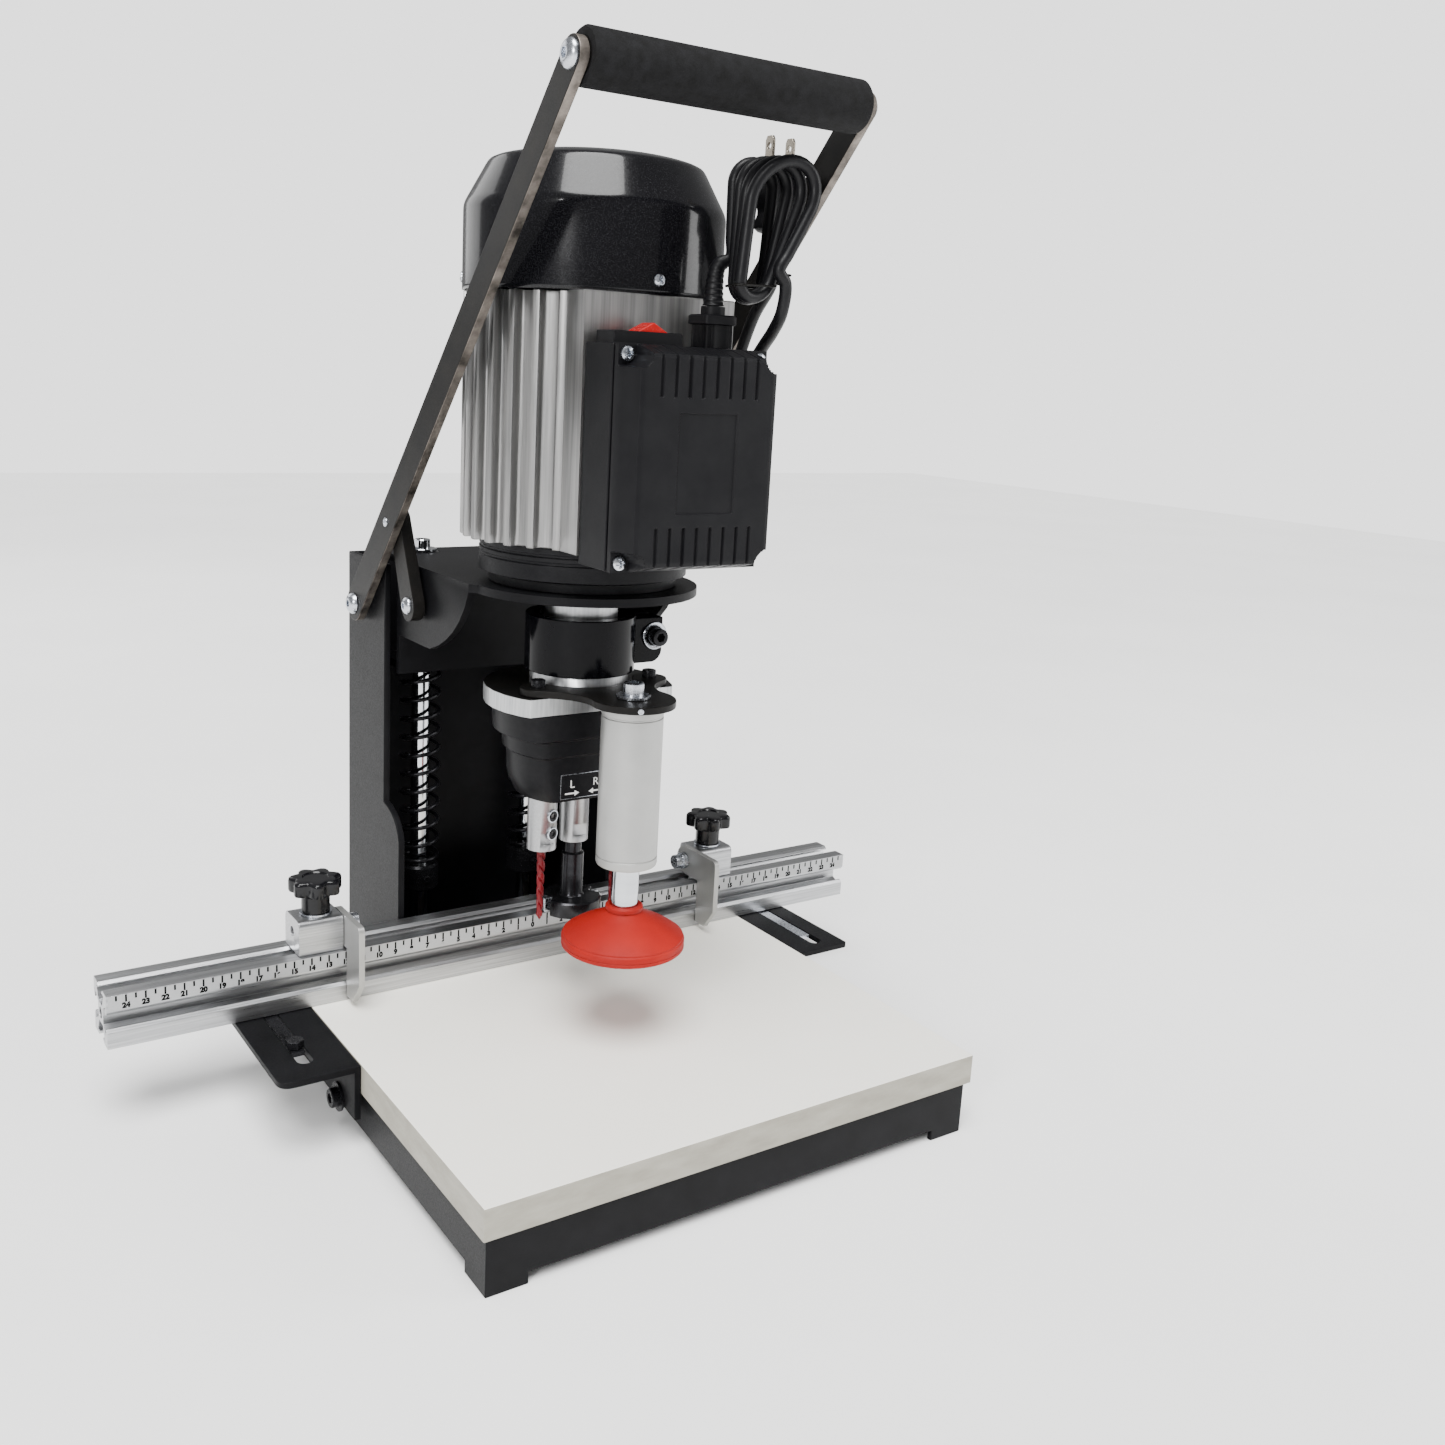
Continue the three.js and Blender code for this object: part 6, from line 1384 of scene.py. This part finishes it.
# %% Hold-down
HOLD = middle("hold_down_screw")[:2]
HOLD_AT = (*HOLD, 0)
TUBE_RADIUS, TUBE_BORE, TUBE_WALL = 16.75, 12.5, 4.5
TUBE_HOLE, ROD_HOLE = 4, 7.9
BAND, TOP_BAND = TUBE_RADIUS - 0.4, TUBE_RADIUS - 0.45
low, high = levels("hold_down_cylinder")
cylinder_profile = [
    (ROD_HOLE, low), (TUBE_RADIUS - 1.4, low), (BAND, low + 0.5), (TUBE_RADIUS, low + 1.6),
    (TUBE_RADIUS, low + 5), (BAND, low + 5.3), (BAND, low + 5.7), (TUBE_RADIUS, low + 6),
    (TUBE_RADIUS, high - 5.6), (TOP_BAND, high - 5.2), (TOP_BAND, high - 4.6), (TUBE_RADIUS, high - 4.2),
    (TUBE_RADIUS, high - 0.6), (TUBE_RADIUS - 0.6, high), (TUBE_HOLE, high), (TUBE_HOLE, high - TUBE_WALL),
    (TUBE_BORE, high - TUBE_WALL), (TUBE_BORE, low + TUBE_WALL), (ROD_HOLE, low + TUBE_WALL),
]
stand_in("cylinder", "hold_down_cylinder", turned(cylinder_profile, HOLD_AT, sides=96), anodised_silver)
ROD_RADIUS, ROD_HEAD, ROD_HEAD_HEIGHT = 7.5, 12.2, 6
rod_low, high = levels("hold_down_rod")
rod_profile = [(0, rod_low), (ROD_RADIUS - 0.5, rod_low), (ROD_RADIUS, rod_low + 0.6),
               (ROD_RADIUS, high - ROD_HEAD_HEIGHT), (ROD_HEAD - 0.2, high - ROD_HEAD_HEIGHT),
               (ROD_HEAD, high - 5.6), (ROD_HEAD, high - 0.4), (ROD_HEAD - 0.2, high), (0, high)]
stand_in("rod", "hold_down_rod", turned(rod_profile, HOLD_AT, sides=64), chrome)
FOOT_RADIUS, DOME_RADIUS, DOME_REACH = 34, 33.2, 23.5
NECK_RADIUS, FOOT_HOLE = 10.4, 7.8
low, high = levels("hold_down_foot")
dome = [(DOME_RADIUS - DOME_REACH * t, low + 7 + (high - low - 10.6) * (1.25 * t - 0.45 * t**2 + 0.2 * t**5))
        for t in np.linspace(0, 1, 22)]
foot_profile = [(0, low), (DOME_RADIUS, low), (FOOT_RADIUS, low + 0.8), (FOOT_RADIUS, low + 2.2),
                (FOOT_RADIUS - 0.3, low + 2.5), (FOOT_RADIUS, low + 2.8), (FOOT_RADIUS, low + 5.2),
                (FOOT_RADIUS - 0.5, low + 6), (DOME_RADIUS, low + 6.2), *dome, (9.6, high - 3),
                (NECK_RADIUS, high - 2.6), (NECK_RADIUS, high - 0.9), (9.5, high), (FOOT_HOLE, high),
                (FOOT_HOLE, rod_low), (0, rod_low)]
stand_in("press_foot", "hold_down_foot", turned(foot_profile, HOLD_AT, sides=120), rubber_red)
SCREW_RADIUS, SCREW_WASHER, SCREW_HEAD = 3, 9.2, 5.5
low, high = levels("hold_down_screw")
screw_profile = [(0, low), (SCREW_RADIUS, low), (SCREW_RADIUS, PLATE_TOP + 0.2),
                 (SCREW_WASHER - 0.3, PLATE_TOP + 0.2), (SCREW_WASHER, PLATE_TOP + 0.5),
                 (SCREW_WASHER, PLATE_TOP + 1.5), (SCREW_WASHER - 0.3, PLATE_TOP + 1.8),
                 (SCREW_HEAD, PLATE_TOP + 1.8), (SCREW_HEAD, high + 1), (SCREW_HEAD - 0.6, high + 1.6)]
cylinder_screw = turned(screw_profile, HOLD_AT, sides=64, socket=(2.9, 3))
stand_in("cylinder_screw", "hold_down_screw", cylinder_screw, zinc)
print("hold-down axis, mm:", HOLD.round(1))

# %% [markdown]
# ## Lever and links
# Two flat bars carry the foam grip and turn on bolts in the column. Links join them to the carriage. A
# bar's outline is the line round two circles. The bar's narrow faces get the finish of bare steel, because
# the paint wears off the edges first.

# %% Lever arms
PIVOT = middle("lever_pivot_bolt_left")[1:]
GRIP = middle("grip_bar")[1:]
ARM_FOOT, ARM_TOP = 10.5, 8
ARM_INNER, ARM_OUTER = 77, 82
PIVOT_BOLT_PROFILE = ((0, 68.3), (6, 68.3), (6, 70.7), (4, 70.7), (4, 82.3), (6.5, 82.3), (6.3, 83.3),
                      (5.6, 84.6), (4.6, 85.4), (3.6, 85.8))


def to_side(profile, sign):
    """Profile along X, put on the left or the right of the machine."""
    return [(radius, sign * along) for radius, along in profile]


def flat_bar(outline, inner, outer, sign):
    """Outline in y and z, carried between two distances from the middle, on one side."""
    return prism(outline, *sorted((sign * inner, sign * outer)), "x")


for side, sign in zip(SIDES, (-1, 1)):
    points, faces = flat_bar(strap(PIVOT, ARM_FOOT, GRIP, ARM_TOP), ARM_INNER, ARM_OUTER, sign)
    zones = [1] * (len(faces) - 2) + [0, 0]
    make_piece(f"lever_bar_{side}", points, faces, [satin, worn_steel], "lever", ("lever_arm_" + side,), 0.5,
               zones)
    screws(f"grip_bolt_{side}", button_head(6.5, 3.4), [(sign * ARM_OUTER, *GRIP)], (sign, 0, 0), zinc,
           "lever")
    pivot_bolt = turned(to_side(PIVOT_BOLT_PROFILE, sign), (0, *PIVOT), "x", 48, socket=(2.4, 2))
    stand_in(f"pivot_bolt_{side}", "lever_pivot_bolt_" + side, pivot_bolt, zinc)

# %% Links and grip
LINK_LOW, LINK_HIGH = np.array((69.5, 271.7)), np.array((89.0, 317.0))
LINK_FOOT, LINK_TOP = 9, 7.5
LINK_INNER, LINK_OUTER = 69.7, 76.7
LOWER_PIN_PROFILE = ((0, 61.1), (4.6, 61.1), (5, 61.5), (5, 63.2), (3, 63.2), (3, 70.5), (0, 70.5))
GRIP_BORE, GRIP_RADIUS, GRIP_END, GRIP_TUBE = 8.2, 12.5, 11.6, 8


def link_shape(sign):
    """Flat link with its lower pin inwards and its upper pin outwards."""
    plate = flat_bar(strap(LINK_LOW, LINK_FOOT, LINK_HIGH, LINK_TOP), LINK_INNER, LINK_OUTER, sign)
    lower = turned(to_side(LOWER_PIN_PROFILE, sign), (0, *LINK_LOW), "x", 40)
    upper = turned(to_side(bar(3, 76, 80.2), sign), (0, *LINK_HIGH), "x", 40)
    return joined(plate, lower, upper)


for side, sign in zip(SIDES, (-1, 1)):
    stand_in(f"link_bar_{side}", "link_" + side, link_shape(sign), satin, 0.5)
    screws(f"link_bolt_{side}", button_head(5, 2.6), [(sign * LINK_OUTER, *LINK_LOW)], (sign, 0, 0), zinc,
           "links")
    screws(f"link_rivet_{side}", cap_head(2.6, 0.7), [(sign * ARM_OUTER, *LINK_HIGH)], (sign, 0, 0), zinc,
           "lever")
left, right = (corner[0] for corner in box("grip_sleeve"))
grip_profile = [(GRIP_BORE, left), (GRIP_END, left), (GRIP_RADIUS, left + 1.2), (GRIP_RADIUS, right - 1.2),
                (GRIP_END, right), (GRIP_BORE, right)]
stand_in("foam_grip", "grip_sleeve", turned(grip_profile, (0, *GRIP), "x", 96), foam)
left, right = (corner[0] for corner in box("grip_bar"))
grip_tube = turned(bar(GRIP_TUBE, left, right), (0, *GRIP), "x", 64)
stand_in("grip_tube", "grip_bar", grip_tube, satin)
print("grip height, mm:", round(GRIP[1], 1))

# %% [markdown]
# ## Fence scale
# The scale is a thin strip on the fence's upper flange. It counts centimetres both ways from the cup
# drill: a tick each half centimetre from the strip's top edge, and a number under each whole one.

# %% Fence scale
FENCE_FRONT = box("fence_rail")[0][1]
STRIP_LOW, STRIP_HIGH, STRIP_REACH = 69.2, 76.9, 249
STRIP_BACK, STRIP_FRONT = FENCE_FRONT + 0.05, FENCE_FRONT - 0.12
TICK_HALF_WIDTH, LONG_TICK, SHORT_TICK = 0.5, 4.1, 2.9
NUMBER_SIZE, NUMBER_BOLD, NUMBER_RISE = 4.0, 0.28, 0.45
strip_shape = block((-STRIP_REACH, STRIP_FRONT, STRIP_LOW), (STRIP_REACH, STRIP_BACK, STRIP_HIGH))
strip = make_piece("scale_strip", *strip_shape, scale_strip, "fence")
ticks = []
for half_centimetres in range(-49, 50):
    x, length = 5 * half_centimetres, SHORT_TICK if half_centimetres % 2 else LONG_TICK
    ticks.append(block((x - TICK_HALF_WIDTH, STRIP_FRONT - 0.05, STRIP_HIGH - length),
                       (x + TICK_HALF_WIDTH, STRIP_FRONT + 0.02, STRIP_HIGH)))
numbers = [on_front(flat_text(str(abs(centimetres)), NUMBER_SIZE, NUMBER_BOLD), 10 * centimetres,
                    STRIP_FRONT - 0.02, STRIP_LOW + NUMBER_RISE) for centimetres in range(-24, 25)]
scale = make_piece("scale_marks", *joined(*ticks, *numbers), ink, "fence")
print("scale faces:", len(scale.data.polygons))

# %% [markdown]
# ## Fence bolts and stop knobs
# A stop slides along the fence and is locked with a star knob. The knob's radius is a rounded wave of
# seven lobes over the angle, and the profile sets how much of the wave each ring gets.

# %% Star knobs and bolts
KNOB_LOBES = 7
KNOB_VALLEY, KNOB_RADIUS = 12, 15.2
KNOB_HEIGHT, HUB_HEIGHT, HUB_RADIUS, STUD_RADIUS = 9, 11.5, 8, 3
KNOB_WASHER_BORE, KNOB_WASHER_RADIUS, KNOB_WASHER_THICKNESS = 3.4, 9, 1


def knob_shape(node):
    """Rings up the knob, as (radius, height, 0), or (share of the star, height, 1) where it is lobed: a
    stud, a hub, and the star, rounded at the top and dished in the middle. The star's radius is
    valley + (tip - valley) ((1 + cos 7 angle) / 2)^0.8."""
    low, high = levels(node)
    angle = round_angles(168)
    lobe = KNOB_VALLEY + (KNOB_RADIUS - KNOB_VALLEY) * ((1 + np.cos(KNOB_LOBES * angle)) / 2) ** 0.8
    star_low = high - KNOB_HEIGHT
    hub_low = star_low - HUB_HEIGHT
    rows = [(0, low, 0), (STUD_RADIUS, low, 0), (STUD_RADIUS, hub_low, 0), (HUB_RADIUS - 0.4, hub_low, 0),
            (HUB_RADIUS, hub_low + 0.4, 0), (HUB_RADIUS, star_low - 2, 0), (9.5, star_low - 0.3, 0),
            (0.86, star_low, 1), (0.97, star_low + 0.5, 1), (1, star_low + 1.5, 1), (1, high - 2.2, 1),
            (0.975, high - 0.9, 1), (0.92, high - 0.25, 1), (0.82, high, 1), (7.4, high, 0),
            (6.8, high - 0.7, 0), (0, high - 0.7, 0)]
    radius, z, star = columns(rows)
    r = np.where(star > 0, radius * lobe, radius + 0 * angle)
    return lofted(rings_round(middle(node), r, angle, z), close_rows=False)


for side, outward in zip(SIDES, (-1, 1)):
    node = "stop_knob_" + side
    stand_in(f"star_knob_{side}", node, knob_shape(node), knob_plastic)
    low = box("stop_block_" + side)[1][2] + SEAT_GAP
    profile = ring(KNOB_WASHER_BORE, KNOB_WASHER_RADIUS, low, low + KNOB_WASHER_THICKNESS)
    washer_shape = turned(profile, (*middle(node)[:2], 0), sides=48)
    washer = make_piece(f"knob_washer_{side}", *washer_shape, zinc, BODY_OF[node])
    bolt = "bracket_bolt_" + side
    inner, outer = (box(bolt)[0][0], box(bolt)[1][0])[::outward]
    # From the inner end: a nut, the shank, a washer and the head.
    profile = [(0, inner), (6, inner), (6, inner + outward * 4.5), (4, inner + outward * 4.5),
               (4, outer - outward * 5.2), (8, outer - outward * 5.2), (8, outer - outward * 4),
               (5.4, outer - outward * 4), (5.4, outer - outward * 0.5), (4.9, outer)]
    bolt_shape = turned(profile, (0, *middle(bolt)[1:]), "x", 48, socket=(3, 2.6))
    stand_in(f"bracket_screw_{side}", bolt, bolt_shape, dark_steel)

# %% [markdown]
# ## Floor, light and the end
# A pale floor and a pale world stand in for a studio. A soft sun and lamps from the left, the right and
# behind give the black parts their highlights. They belong to the stage, not to the machine.

# %% Floor and lamps
FLOOR_REACH = 4
BACKDROP_STRENGTH, WORLD_LIGHT = 2.15, 0.32
floor_data = bpy.data.meshes.new("floor")
corners = [(x * FLOOR_REACH, y * FLOOR_REACH, 0) for x, y in ((-1, -1), (1, -1), (1, 1), (-1, 1))]
floor_data.from_pydata(corners, [], [(0, 1, 2, 3)])
floor_data.materials.append(surface("pale_floor", (0.86, 0.86, 0.855), (0.9, 0.9, 0.895), (0.7, 0.85),
                                    mottle=3, grain=60, depth=0.02))
floor = put_in_scene("floor", floor_data)

world = bpy.data.worlds.new("studio")
world.use_nodes = True
nodes, links = world.node_tree.nodes, world.node_tree.links
backdrop = nodes["Background"]
backdrop.inputs["Color"].default_value = (1, 1, 1, 1)
ray = nodes.new("ShaderNodeLightPath")
strength = nodes.new("ShaderNodeMapRange")
strength.inputs["To Min"].default_value = WORLD_LIGHT
strength.inputs["To Max"].default_value = BACKDROP_STRENGTH
links.new(ray.outputs["Is Camera Ray"], strength.inputs["Value"])
links.new(strength.outputs["Result"], backdrop.inputs["Strength"])
bpy.context.scene.world = world


def make_lamp(name, kind, place, aim, power, **settings):
    """Lamp at a place that shines at a point."""
    data = bpy.data.lights.new(name, kind)
    data.energy = power
    for key, value in settings.items():
        setattr(data, key, value)
    lamp = put_in_scene(name, data)
    lamp.location = place
    lamp.rotation_euler = (Vector(aim) - Vector(place)).to_track_quat("-Z", "Y").to_euler()


make_lamp("sky", "SUN", (-0.5, -0.7, 2.2), (0, 0, 0), 6.5, angle=math.radians(40))
for name, place, size, power in (
    ("key", (-1.4, -1.0, 0.9), 0.35, 18),
    ("side", (1.5, -0.9, 0.9), 0.9, 16),
    ("rear", (-0.6, 1.8, 1.1), 1.2, 10),
):
    make_lamp(name, "AREA", place, (0, 0, 0.25), power, size=size)
